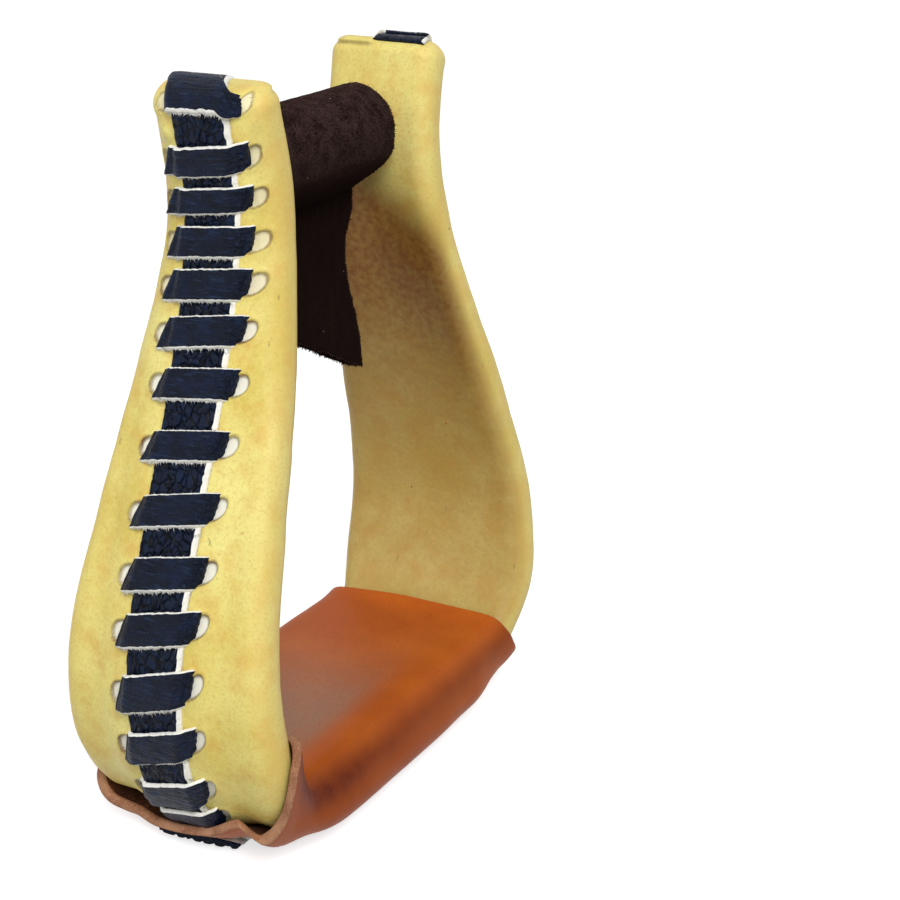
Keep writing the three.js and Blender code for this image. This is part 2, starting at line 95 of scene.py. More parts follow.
# The rail that everything follows: the bow's middle line, with half the depth over the rawhide.
# Shares run down a leg from its top to the bar; the spread is 0 at the neck and 1 at the foot.
bowSizes = {
    "height": 195.5,
    "neckGap": 63.2,
    "footGap": 130.8,
    "topDepth": 32.3,
    "heelDepth": 63.3,
    "clearance": 0.3,
    "halfThickness": 4.4,
    "hideThickness": 1.3,
    "barHeight": 13.42,
    "heightShares": (1, 0.856, 0.729, 0.602, 0.425, 0.296, 0.198, 0.1045, 0.052, 0.015, 0.002),
    "spreadShares": (0.133, 0, 0.089, 0.299, 0.675, 0.92, 1, 0.93, 0.8, 0.63, 0.37),
    "depthShares": (0, 0.035, 0.15, 0.377, 0.645, 0.83, 0.935, 1, 0.95, 0.87, 0.85),
    "barSpreadShares": (0.56, 0.28, 0),
    "barDepthShare": 0.842,
    "mouthShare": 0.1,          # where the tread cover starts, between the last two knots of a leg
    "stepsPerKnot": 200,
    "heelPull": 0.04,           # share by which a heel narrows on its own outer side
    "heelPullPlace": 189,
    "heelPullReach": 17,
}
hideFace = bowSizes["halfThickness"] + bowSizes["clearance"] + bowSizes["hideThickness"]


def railKnots(sizes):
    railTop = sizes["height"] - sizes["clearance"] - sizes["hideThickness"]
    neckHalf = sizes["neckGap"] / 2 + hideFace
    footHalf = sizes["footGap"] / 2 + hideFace
    bar = sizes["barHeight"]
    leg = [
        (-neckHalf - (footHalf - neckHalf) * spread, depth, bar + (railTop - bar) * height)
        for height, spread, depth in zip(sizes["heightShares"], sizes["spreadShares"], sizes["depthShares"])
    ]
    leg += [(-footHalf * spread, sizes["barDepthShare"], bar) for spread in sizes["barSpreadShares"]]
    half = np.array(leg)
    half[:, 1] = (sizes["topDepth"] + (sizes["heelDepth"] - sizes["topDepth"]) * half[:, 1]) / 2
    return np.concatenate([half, (half * (-1, 1, 1))[-2::-1]])


def smoothCurve(knots, stepsPerKnot):
    ends = np.concatenate([[2 * knots[0] - knots[1]], knots, [2 * knots[-1] - knots[-2]]])
    gaps = np.linalg.norm(np.diff(ends, axis=0), axis=1) ** 0.5
    share = np.linspace(0, 1, stepsPerKnot, endpoint=False)[:, None]
    runs = []
    for index in range(len(knots) - 1):
        a, b, c, d = ends[index:index + 4]
        before, between, after = gaps[index:index + 3]
        leave = ((b - a) / before - (c - a) / (before + between)) * between + (c - b)
        arrive = (c - b) + ((d - c) / after - (d - b) / (between + after)) * between
        square, cube = share ** 2, share ** 3
        runs.append(b + leave * share + (3 * (c - b) - 2 * leave - arrive) * square
                    + (2 * (b - c) + leave + arrive) * cube)
    return np.concatenate(runs + [knots[-1:]])


railLine = smoothCurve(railKnots(bowSizes), bowSizes["stepsPerKnot"])
railPlaces = np.concatenate([[0], np.cumsum(np.linalg.norm(np.diff(railLine, axis=0), axis=1))])
railLength = railPlaces[-1]
railAlong = np.gradient(railLine, railPlaces, axis=0)
lastKnot = (len(bowSizes["heightShares"]) - 2) * bowSizes["stepsPerKnot"]
beforeMouth, afterMouth = railPlaces[lastKnot], railPlaces[lastKnot + bowSizes["stepsPerKnot"]]
mouthPlace = beforeMouth + (afterMouth - beforeMouth) * bowSizes["mouthShare"]


def depthAt(place):
    return np.interp(place, railPlaces, railLine[:, 1])


def railPoint(place, across, outward):
    # a point beside the rail: across is along Y, outward is square to the bow's outer face
    place, across, outward = np.broadcast_arrays(place, across, outward)
    fromEnd = railLength / 2 - np.abs(place - railLength / 2)
    outerSide = np.where(place < railLength / 2, across < 0, across > 0)
    pulled = bell(fromEnd, bowSizes["heelPullPlace"], bowSizes["heelPullReach"]) * outerSide
    across = across * (1 - bowSizes["heelPull"] * pulled)
    held = np.clip(place, 0, railLength)
    alongX = np.interp(held, railPlaces, railAlong[:, 0])
    alongZ = np.interp(held, railPlaces, railAlong[:, 2])
    size = np.hypot(alongX, alongZ)
    alongX, alongZ = alongX / size, alongZ / size
    x = np.interp(held, railPlaces, railLine[:, 0]) + alongX * (place - held) + alongZ * outward
    z = np.interp(held, railPlaces, railLine[:, 2]) + alongZ * (place - held) - alongX * outward
    return np.stack([x, across, z], axis=-1)


def bandAt(run, half, face, corner):
    # the point and the way out on a rounded band's outline, at run from the middle of its outer face
    flat = half - corner
    arc = math.pi / 2 * corner
    side = face + face - 2 * corner
    walked = np.abs(run)
    turnOne = np.clip((walked - flat) / corner, 0, math.pi / 2)
    down = np.clip(walked - flat - arc, 0, side)
    turnTwo = np.clip((walked - flat - arc - side) / corner, 0, math.pi / 2)
    back = np.clip(walked - flat - 2 * arc - side, 0, None)
    across = np.minimum(walked, flat) + corner * (np.sin(turnOne) - 1 + np.cos(turnTwo)) - back
    outward = face - corner * (1 - np.cos(turnOne)) - down - corner * np.sin(turnTwo)
    turn = turnOne + turnTwo
    return across * np.sign(run), outward, np.sin(turn) * np.sign(run), np.cos(turn)


def bandHalfRun(half, face, corner):
    return 2 * (half - corner) + math.pi * corner + face + face - 2 * corner


# Mesh making
def gridFaces(rows, around, closedRows=False):
    row = np.arange(rows if closedRows else rows - 1)[:, None] * around
    nextRow = (row + around) % (rows * around)
    column = np.arange(around)[None, :]
    nextColumn = (column + 1) % around
    quads = np.stack([row + column, row + nextColumn, nextRow + nextColumn, nextRow + column], axis=-1)
    return quads.reshape(-1, 4)


def facesOut(points, faces):
    a, b, c, d = (points[faces[:, corner]] for corner in range(4))
    volume = np.sum(a * np.cross(b, c)) + np.sum(a * np.cross(c, d))
    return volume > 0


def addSkin(name, grid, materials, kinds=None, marks=None, closedRows=False, fibres=None, fibreKind=1):
    # a closed body through a grid of points: rows of rings, its ends closed by one flat face each,
    # and fibres standing on its cut edges, each a closed sliver
    rows, around = grid.shape[:2]
    points = grid.reshape(-1, 3)
    quads = gridFaces(rows, around, closedRows)
    flip = not facesOut(points, quads)
    faces = (quads[:, ::-1] if flip else quads).tolist()
    kinds = [0] * len(faces) if kinds is None else list(np.asarray(kinds).reshape(-1))
    if not closedRows:
        first = list(range(around))
        last = list(range((rows - 1) * around, rows * around))
        faces += [first if flip else first[::-1], last[::-1] if flip else last]
        kinds += [kinds[0], kinds[-1]]
    if fibres is not None:
        start = len(points) + 4 * np.arange(len(fibres))[:, None, None]
        slivers = start + np.array([(0, 2, 1), (0, 1, 3), (1, 2, 3), (2, 0, 3)])[None]
        faces += slivers.reshape(-1, 3).tolist()
        kinds += [fibreKind] * (4 * len(fibres))
        points = np.concatenate([points, fibres.reshape(-1, 3)])
    mesh = bpy.data.meshes.new(name)
    mesh.from_pydata((points * mm).tolist(), [], faces)
    for material in materials:
        mesh.materials.append(material)
    mesh.polygons.foreach_set("use_smooth", np.full(len(faces), True))
    mesh.polygons.foreach_set("material_index", np.asarray(kinds, np.int32))
    unmarked = np.zeros(len(points) - rows * around)
    for mark, values in (marks or {}).items():
        values = np.append(values, unmarked).astype(np.float32)
        mesh.attributes.new(mark, "FLOAT", "POINT").data.foreach_set("value", values)
    mesh.update()
    piece = bpy.data.objects.new(name, mesh)
    bpy.context.scene.collection.objects.link(piece)
    return piece


# Fibres along the cut edges: spacing, shortest, longest and half width
fringeSizes = {
    "laceLower": (0.27, 0.3, 1.35, 0.13),
    "laceUpper": (0.55, 0.15, 0.6, 0.13),
    "strapNear": (0.351, 0.15, 0.6, 0.13),
    "strapFar": (0.54, 0.15, 0.45, 0.13),
    "coverMouth": (0.5, 0.1, 0.45, 0.06),
    "suedeSide": (0.26, 0.25, 1.2, 0.12),
    "suedeEnd": (0.2, 0.3, 1.5, 0.12),
}
fibreSizes = {
    "stray": 0.45,              # how far a fibre leans from the way straight off the edge
    "shortness": 2.2,           # above 1, most fibres are short
    "root": 0.2,                # how deep in the leather it starts
    "sideways": (0.3, 0.5, 0.81),
}


def edgeFibres(grid, column, inner, rows, fringe, seed):
    # fibres along one edge of a grid, pointing away from the inner column and a little every way
    spacing, shortest, longest, width = fringeSizes[fringe]
    sizes = fibreSizes
    dice = np.random.default_rng(seed)
    starts = grid[rows, column]
    ends = grid[rows + 1, column]
    runs = np.linalg.norm(ends - starts, axis=1)
    count = int(runs.sum() / spacing)
    pick = dice.choice(len(rows), count, p=runs / runs.sum())
    share = dice.random((count, 1))
    roots = starts[pick] * (1 - share) + ends[pick] * share
    ways = roots - grid[rows[pick], inner]
    ways /= np.linalg.norm(ways, axis=1)[:, None]
    ways = ways + dice.normal(0, sizes["stray"], ways.shape)
    ways /= np.linalg.norm(ways, axis=1)[:, None]
    side = np.cross(ways, sizes["sideways"])
    side /= np.linalg.norm(side, axis=1)[:, None]
    other = np.cross(ways, side)
    long = (shortest + (longest - shortest) * dice.random(count) ** sizes["shortness"])[:, None]
    corners = [roots - ways * sizes["root"] + width * (side * math.cos(turn) + other * math.sin(turn))
               for turn in (0, 2 * math.pi / 3, 4 * math.pi / 3)]
    return np.stack(corners + [roots + ways * long], axis=1)


def noiseOn(points, size, seed):
    shift = Vector((seed * 17.3, seed * 5.7, seed * 9.1))
    flat = (points.reshape(-1, 3) / size).tolist()
    values = [noise.noise(Vector(point) + shift) for point in flat]
    return np.array(values).reshape(points.shape[:-1])


def waveOn(points, waves, seed):
    # waves are pairs of a size and how far it stands out
    return sum(height * noiseOn(points, size, seed + index) for index, (size, height) in enumerate(waves))


def otherLeg(points):
    return points * (-1, -1, 1)


# Materials
def linearColour(colour):
    channels = [int(colour[start:start + 2], 16) / 255 for start in (1, 3, 5)]
    return tuple([c / 12.92 if c <= 0.04045 else ((c + 0.055) / 1.055) ** 2.4 for c in channels] + [1])


def addNode(tree, kind, settings=None, links=None, output=0):
    # a node with its settings and links; gives back the output that the next node links from
    node = tree.nodes.new("ShaderNode" + kind)
    for name, value in (settings or {}).items():
        if isinstance(name, int) or name in node.inputs:
            node.inputs[name].default_value = value
        else:
            setattr(node, name, value)
    for name, source in (links or {}).items():
        tree.links.new(source, node.inputs[name])
    return node.outputs[output] if node.outputs else None


def newMaterial(name, sockets):
    material = bpy.data.materials.new(name)
    material.use_nodes = True
    tree = material.node_tree
    shader = tree.nodes["Principled BSDF"]
    for socket, value in sockets.items():
        shader.inputs[socket].default_value = value
    return material, tree, shader, addNode(tree, "TexCoord", output="Object")


def finishMaterial(tree, shader, layers, roughness, height, distance):
    # colour layers from the ground up as (colour, share), roughness as (share, least, most), and bump
    ground = addNode(tree, "RGB")
    ground.default_value = linearColour(layers[0][0])
    for colour, share in layers[1:]:
        ground = addNode(tree, "MixRGB", {"Color2": linearColour(colour)}, {"Fac": share, "Color1": ground})
    source, least, most = roughness
    rough = addNode(tree, "MapRange", {"To Min": least, "To Max": most}, {"Value": source})
    bump = addNode(tree, "Bump", {"Strength": 1.0, "Distance": distance * mm}, {"Height": height})
    for socket, source in (("Base Color", ground), ("Roughness", rough), ("Normal", bump)):
        tree.links.new(source, shader.inputs[socket])


# Rawhide, soaked, laced wet and shrunk on: hard, satin, a little translucent, pale yellow with
# amber clouds, amber where it was drawn round the band's edges, and a few red and dark specks.
# Brown lines round the lace slots and along the fold over a leg's top are painted shade; the brown on
# the inner faces below the suede is partly stain and partly painted shadow of the suede and the near leg.
rawhideLook = {
    "pale": "#f0e48c", "straw": "#dcc763", "amber": "#d8a94a", "edge": "#ecca72", "stainAndShadow": "#794816",
    "pore": "#cba759", "slot": "#f6f3e2", "rim": "#5d3b1d", "red": "#ad4a20", "scratch": "#6d6140",
    "cloudMm": 24, "patchMm": 7, "mottleMm": 1.7, "poreMm": 0.7, "speckMm": 8.6, "scratchMm": 2.2,
    "bumpMm": 0.055,
}


def makeRawhideLeather():
    look = rawhideLook
    material, tree, shader, where = newMaterial("shrunkRawhide", {
        "IOR": 1.5, "Specular IOR Level": 0.25, "Subsurface Weight": 0.1,
        "Subsurface Radius": (1.0, 0.6, 0.2), "Subsurface Scale": 1.5 * mm})
    clouds, patches, mottle, pores = [
        addNode(tree, "TexNoise", {"Scale": 1 / (look[size] * mm), "Detail": detail}, {"Vector": where})
        for size, detail in (("cloudMm", 2.0), ("patchMm", 3.0), ("mottleMm", 3.0), ("poreMm", 2.0))]
    cloudy = addNode(tree, "MapRange", {"From Min": 0.36, "From Max": 0.66}, {"Value": clouds})
    patchy = addNode(tree, "MapRange", {"From Min": 0.46, "From Max": 0.72, "To Max": 0.62},
                     {"Value": patches})
    mottled = addNode(tree, "MapRange", {"From Min": 0.4, "From Max": 0.8, "To Max": 0.4}, {"Value": mottle})
    slotFloor, slotRim, edgeTone, stainAndShadow = [
        addNode(tree, "Attribute", {"attribute_name": mark}, output="Fac")
        for mark in ("slotFloor", "slotRim", "edgeTone", "stainAndShadow")]
    uneven = addNode(tree, "MapRange", {"From Min": 0.3, "From Max": 0.7, "To Min": 0.35}, {"Value": patches})
    edge = addNode(tree, "Math", {"operation": "MULTIPLY"}, {0: edgeTone, 1: uneven})
    clouded = addNode(tree, "MapRange", {"From Min": 0.35, "From Max": 0.7, "To Min": 0.86},
                      {"Value": mottle})
    # brown on the inner faces below the suede: partly stain, partly painted shadow of the suede and the near
    # leg
    stainedAndShadowed = addNode(tree, "Math", {"operation": "MULTIPLY"}, {0: stainAndShadow, 1: clouded})
    # painted shade lines round the slots and along the fold over the top
    rim = addNode(tree, "Math", {"operation": "MULTIPLY"}, {0: slotRim, 1: uneven})
    pored = addNode(tree, "MapRange", {"From Min": 0.5, "From Max": 0.72, "To Max": 0.4}, {"Value": pores})
    # specks: a dot in the middle of some cells
    cells = addNode(tree, "TexVoronoi", {"Scale": 1 / (look["speckMm"] * mm)}, {"Vector": where})
    dots = addNode(tree, "MapRange", {"From Min": 0.05, "From Max": 0.025}, {"Value": cells})
    picked = cells.node.outputs["Color"]
    chosen = addNode(tree, "MapRange", {"From Min": 0.66, "From Max": 0.7}, {"Value": picked})
    specks = addNode(tree, "Math", {"operation": "MULTIPLY"}, {0: dots, 1: chosen})
    # hairline scratches, drawn out and a little slanted
    slanted = addNode(tree, "Mapping", {"Rotation": (0.5, 0.2, 0.3), "Scale": (1.0, 1.0, 0.16)},
                      {"Vector": where})
    lines = addNode(tree, "TexNoise", {"Scale": 1 / (look["scratchMm"] * mm), "Detail": 2.0},
                    {"Vector": slanted})
    scratches = addNode(tree, "MapRange", {"From Min": 0.725, "From Max": 0.78, "To Max": 0.5},
                        {"Value": lines})
    surface = addNode(tree, "Math", {"operation": "MULTIPLY_ADD", 1: 2.5}, {0: mottle, 2: pores})
    finishMaterial(tree, shader, [
        (look["pale"], None), (look["straw"], cloudy), (look["amber"], patchy), (look["pale"], mottled),
        (look["pore"], pored), (look["edge"], edge), (look["stainAndShadow"], stainedAndShadowed), (look["scratch"], scratches),
        (look["red"], specks), (look["slot"], slotFloor), (look["rim"], rim)],
        (mottle, 0.36, 0.56), surface, look["bumpMm"])
    return material


# Chrome tanned cowhide dyed blue black: fine creases drawn along a lace, a cracked pebble on the
# broad straps, matt with a faint blue sheen; painted shade darkens the creases and painted
# highlights catch the ridges
dyedLook = {
    # crease is painted shade in the creases; ridge is a painted highlight on the raised lines
    "deep": "#060f20", "worn": "#0e1b35", "creaseShade": "#02050c", "ridge": "#2c3c58",
    "streakMm": 0.8, "pebbleMm": 2.3, "grainMm": 0.5, "wornMm": 4,
    "streaked": {"stretch": (1.0, 0.16, 1.0), "ridge": 0.6, "bumpMm": 1.1},
    "pebbled": {"stretch": (1.0, 1.25, 0.7), "ridge": 0.1, "bumpMm": 0.4},
}


def makeDyedLeather(name, grainName):
    look = dyedLook
    form = look[grainName]
    material, tree, shader, where = newMaterial(name, {"IOR": 1.45, "Specular IOR Level": 0.14})
    drawn = addNode(tree, "Mapping", {"Scale": form["stretch"]}, {"Vector": where})
    grain = addNode(tree, "TexNoise", {"Scale": 1 / (look["grainMm"] * mm), "Detail": 2.0}, {"Vector": where})
    wander = addNode(tree, "TexNoise", {"Scale": 1 / (look["wornMm"] * mm), "Detail": 2.0}, {"Vector": where})
    if grainName == "pebbled":
        cells = addNode(tree, "TexVoronoi", {
            "feature": "DISTANCE_TO_EDGE", "Scale": 1 / (look["pebbleMm"] * mm)}, {"Vector": drawn})
        relief = addNode(tree, "MapRange", {"From Max": 0.16}, {"Value": cells})
    else:
        relief = addNode(tree, "TexNoise", {"Scale": 1 / (look["streakMm"] * mm), "Detail": 3.0},
                         {"Vector": drawn})
    worn = addNode(tree, "MapRange", {"From Min": 0.42, "From Max": 0.7}, {"Value": wander})
    # painted shade in the creases and cracks
    shadedCreases = addNode(tree, "MapRange", {"From Min": 0.45, "From Max": 0.15}, {"Value": relief})
    # painted highlights along the raised ridges, where light would catch them
    paintedGlints = addNode(tree, "MapRange", {"From Min": 0.56, "From Max": 0.72, "To Max": form["ridge"]},
                     {"Value": relief})
    surface = addNode(tree, "Math", {"operation": "MULTIPLY_ADD", 1: 0.35}, {0: grain, 2: relief})
    finishMaterial(tree, shader, [
        (look["deep"], None), (look["worn"], worn), (look["ridge"], paintedGlints), (look["creaseShade"], shadedCreases)],
        (relief, 0.3, 0.52), surface, form["bumpMm"])
    return material


# The undyed middle of the same leather where a blade cut it: cream, dull and hairy
fleshLook = {"cream": "#f7f6ef", "grey": "#c9c6b6", "dyed": "#5a5d60", "tuftMm": 0.7, "dyedMm": 3.5}


def makeFleshEdge():
    look = fleshLook
    material, tree, shader, where = newMaterial("undyedCutFlesh", {"IOR": 1.45, "Specular IOR Level": 0.2})
    tufts = addNode(tree, "TexNoise", {"Scale": 1 / (look["tuftMm"] * mm), "Detail": 4.0}, {"Vector": where})
    long = addNode(tree, "TexNoise", {"Scale": 1 / (look["dyedMm"] * mm), "Detail": 2.0}, {"Vector": where})
    grey = addNode(tree, "MapRange", {"From Min": 0.55, "From Max": 0.8, "To Max": 0.6}, {"Value": tufts})
    dyed = addNode(tree, "MapRange", {"From Min": 0.64, "From Max": 0.72, "To Max": 0.6}, {"Value": long})
    finishMaterial(tree, shader, [(look["cream"], None), (look["grey"], grey), (look["dyed"], dyed)],
                   (tufts, 0.85, 1.0), tufts, 0.25)
    return material


# Vegetable tanned harness leather, oiled and burnished: russet, satin, with painted shade where it
# turns down at the front and back, underneath and beside the near mouth, and dull and greyish on the
# top where a boot rubs it, partly wear and partly a painted sheen
treadLook = {
    # the worn colour is partly wear and partly a painted sheen, and the dark colour is painted shade
    "russet": "#b1541b", "bright": "#c2621f", "dark": "#622003", "worn": "#9a7864", "pore": "#8c451b",
    "cloudMm": 30, "blotchMm": 6, "grainMm": 0.6,
}


def makeTreadLeather():
    look = treadLook
    material, tree, shader, where = newMaterial("vegTannedHarnessLeather", {
        "IOR": 1.5, "Specular IOR Level": 0.12})
    clouds, blotches, grain = [
        addNode(tree, "TexNoise", {"Scale": 1 / (look[size] * mm), "Detail": 3.0}, {"Vector": where})
        for size in ("cloudMm", "blotchMm", "grainMm")]
    turned, wearAndSheen = [addNode(tree, "Attribute", {"attribute_name": mark}, output="Fac")
                      for mark in ("turned", "wearAndSheen")]
    cloudy = addNode(tree, "MapRange", {"From Min": 0.4, "From Max": 0.65}, {"Value": clouds})
    uneven = addNode(tree, "MapRange", {"From Min": 0.3, "From Max": 0.7, "To Min": 0.82},
                     {"Value": blotches})
    # painted shade on the sides and underneath, and wear mixed with a painted sheen on the top
    darker, wornAndSheened = [addNode(tree, "Math", {"operation": "MULTIPLY"}, {0: mark, 1: uneven})
                      for mark in (turned, wearAndSheen)]
    pores = addNode(tree, "MapRange", {"From Min": 0.52, "From Max": 0.68, "To Max": 0.35}, {"Value": grain})
    finishMaterial(tree, shader, [
        (look["russet"], None), (look["bright"], cloudy), (look["dark"], darker), (look["worn"], wornAndSheened),
        (look["pore"], pores)], (uneven, 0.34, 0.5), grain, 0.05)
    return material


# The same leather's cut edge, tan and stringy, and its flesh side, brown and napped
cutLook = {
    "edge": {"light": "#b98a6a", "dark": "#94634a", "fineMm": 0.4, "bumpMm": 0.15},
    "flesh": {"light": "#6b432a", "dark": "#3a2014", "fineMm": 0.9, "bumpMm": 0.3},
    "broadMm": 5,
}


def makeCutLeather(name, look):
    material, tree, shader, where = newMaterial(name, {"IOR": 1.45, "Specular IOR Level": 0.2})
    fine, broad = [
        addNode(tree, "TexNoise", {"Scale": 1 / (size * mm), "Detail": detail}, {"Vector": where})
        for size, detail in ((look["fineMm"], 4.0), (cutLook["broadMm"], 2.0))]
    both = addNode(tree, "Math", {"operation": "MULTIPLY"}, {0: fine, 1: broad})
    share = addNode(tree, "MapRange", {"From Min": 0.16, "From Max": 0.36}, {"Value": both})
    finishMaterial(tree, shader, [(look["light"], None), (look["dark"], share)], (fine, 0.8, 1.0), fine,
                   look["bumpMm"])
    return material


# Split cowhide brushed to a nap: near black brown, no gloss, streaky where a hand brushed it,
# and with painted shade darkening the hanging ends below the roll
suedeLook = {
    "deep": "#0e0607", "raised": "#473634", "hangingShade": "#070304", "lint": "#c9bdb2", "sheen": "#7a5f55",
    "strokeMm": 3.2, "napMm": 0.55, "lintMm": 6, "bumpMm": 0.35,
}


def makeSuedeLeather():
    look = suedeLook
    material, tree, shader, where = newMaterial("brushedSplitSuede", {
        "IOR": 1.4, "Specular IOR Level": 0.0, "Sheen Weight": 0.2, "Sheen Roughness": 0.6,
        "Sheen Tint": linearColour(look["sheen"])})
    strokes, nap = [
        addNode(tree, "TexNoise", {"Scale": 1 / (look[size] * mm), "Detail": 3.0}, {"Vector": where})
        for size in ("strokeMm", "napMm")]
    both = addNode(tree, "Math", {"operation": "MULTIPLY_ADD", 1: 0.6}, {0: strokes, 2: nap})
    raised = addNode(tree, "MapRange", {"From Min": 0.62, "From Max": 1.1}, {"Value": both})
    cells = addNode(tree, "TexVoronoi", {"Scale": 1 / (look["lintMm"] * mm)}, {"Vector": where})
    lint = addNode(tree, "MapRange", {"From Min": 0.035, "From Max": 0.02, "To Max": 0.8}, {"Value": cells})
    # painted shade on the hanging ends, darker down from the roll
    hangingShade = addNode(tree, "Attribute", {"attribute_name": "hangingShadeMark"}, output="Fac")
    finishMaterial(tree, shader, [
        (look["deep"], None), (look["raised"], raised), (look["hangingShade"], hangingShade), (look["lint"], lint)],
        (nap, 0.92, 1.0), nap, look["bumpMm"])
    return material


# Steam bent ash and a turned maple roller: straight grain, pale and darker lines, sanded
woodLook = {
    "ash": {"light": "#cfae80", "dark": "#b48d5c", "stretch": (1.0, 1.0, 0.12)},
    "maple": {"light": "#c9a36d", "dark": "#b1864f", "stretch": (0.12, 1.0, 1.0)},
    "pore": "#6d4c2c", "ringMm": 2.4, "poreMm": 0.5,
}


def makeWood(name, look):
    material, tree, shader, where = newMaterial(name, {"IOR": 1.5, "Specular IOR Level": 0.35})
    along = addNode(tree, "Mapping", {"Scale": look["stretch"]}, {"Vector": where})
    rings = addNode(tree, "TexNoise", {
        "Scale": 1 / (woodLook["ringMm"] * mm), "Detail": 3.0, "Distortion": 0.6}, {"Vector": along})
    pores = addNode(tree, "TexNoise", {"Scale": 1 / (woodLook["poreMm"] * mm), "Detail": 2.0},
                    {"Vector": along})
    ringed = addNode(tree, "MapRange", {"From Min": 0.42, "From Max": 0.62}, {"Value": rings})
    pored = addNode(tree, "MapRange", {"From Min": 0.55, "From Max": 0.7, "To Max": 0.4}, {"Value": pores})
    finishMaterial(tree, shader, [(look["light"], None), (look["dark"], ringed), (woodLook["pore"], pored)],
                   (pores, 0.45, 0.65), pores, 0.05)
    return material


# Steel with a bright zinc plating: blue grey, spangled in soft clouds, finely brushed
zincLook = {"light": "#b9bcc0", "dark": "#9fa5ad", "spangleMm": 3, "brushMm": 0.8, "stretch": (6.0, 1.0, 1.0)}


def makeZincSteel():
    look = zincLook
    material, tree, shader, where = newMaterial("zincPlatedSteel", {"Metallic": 1.0})
    spangle = addNode(tree, "TexNoise", {"Scale": 1 / (look["spangleMm"] * mm), "Detail": 2.0},
                      {"Vector": where})
    turned = addNode(tree, "Mapping", {"Scale": look["stretch"]}, {"Vector": where})
    brushed = addNode(tree, "TexNoise", {"Scale": 1 / (look["brushMm"] * mm), "Detail": 2.0},
                      {"Vector": turned})
    finishMaterial(tree, shader, [(look["light"], None), (look["dark"], spangle)], (brushed, 0.26, 0.42),
                   brushed, 0.01)
    return material


rawhideLeather = makeRawhideLeather()
laceLeather = makeDyedLeather("dyedLaceLeather", "streaked")
strapLeather = makeDyedLeather("dyedPebbledLeather", "pebbled")
fleshEdge = makeFleshEdge()
treadLeather = makeTreadLeather()
treadEdge = makeCutLeather("cutHarnessLeather", cutLook["edge"])
treadFlesh = makeCutLeather("vegTannedFleshSide", cutLook["flesh"])
darkSuede = makeSuedeLeather()
ashWood = makeWood("steamBentAsh", woodLook["ash"])
rollerWood = makeWood("turnedMaple", woodLook["maple"])
zincSteel = makeZincSteel()
print("materials done")

# Lacing places, shared by the skin's slots, the straps and the laces. The first turn goes over the
# leg's top; the turns are close at the neck and wider apart below it.
lacingSizes = {
    "places": (-2.2, 14.8, 26.1, 37.7, 48.9, 61.2, 74.5, 90.2, 106.0, 121.5, 134.4, 148.6, 162.0, 175.8,
               186.0),
    "slopes": (0.03, 0.13, 0.14, 0.12, 0.14, 0.15, 0.12, 0.15, 0.2, 0.2, 0.22, 0.25, 0.27, 0.27, 0.25),
    "slotMiddle": 13.0,         # across, on the side that looks at the camera
    "farSlotMiddle": 10.8,      # and on the other side
    "upperReach": 1.5,          # near the neck the laces reach further on that side
    "upperFade": (7, 3),
    "slotHalfLength": 3.0,
    "farSlotHalfLength": 2.3,
    "lowerFrom": 3,             # below this turn, over two turns, a near slot lies nearer the seam
    "lowerRun": 2,
    "lowerShift": 1.2,
    "lowerShort": 0.5,          # and is shorter
    "slotHalfHeight": 2.45,
    "slotRound": 2.3,
    "slotEdgeMargin": 2.2,
    "slotDepth": 0.95,
    "slotSlant": 0.35,
    "leastFloor": 6.05,         # the slot's floor stays above the lace's hidden run
    "leastDepth": 0.75,
    "topSlotDepth": 0.35,       # share of the depth that the first slots have
    "topSlotFade": (3.5, 3.5),
    "topSlot": (1.4, 11.9, 10.4, 1.6, 1.7),  # their place, two middles, half length and half height
    "paleSlots": (3, 3),        # from this turn down a slot shows clean white flesh
    "wall": (-1.1, 0.22),       # shares of a slot's size: where its wall starts and how wide that is
    "rim": (1.3, 0.2),          # the raised rim
    "line": (1.04, 0.13),       # and the painted shade line inside it
}
rungs = np.array(lacingSizes["places"])
slopes = np.array(lacingSizes["slopes"])


def upperReach(index):
    last, fade = lacingSizes["upperFade"]
    return lacingSizes["upperReach"] * min(max((last - index) / fade, 0), 1)


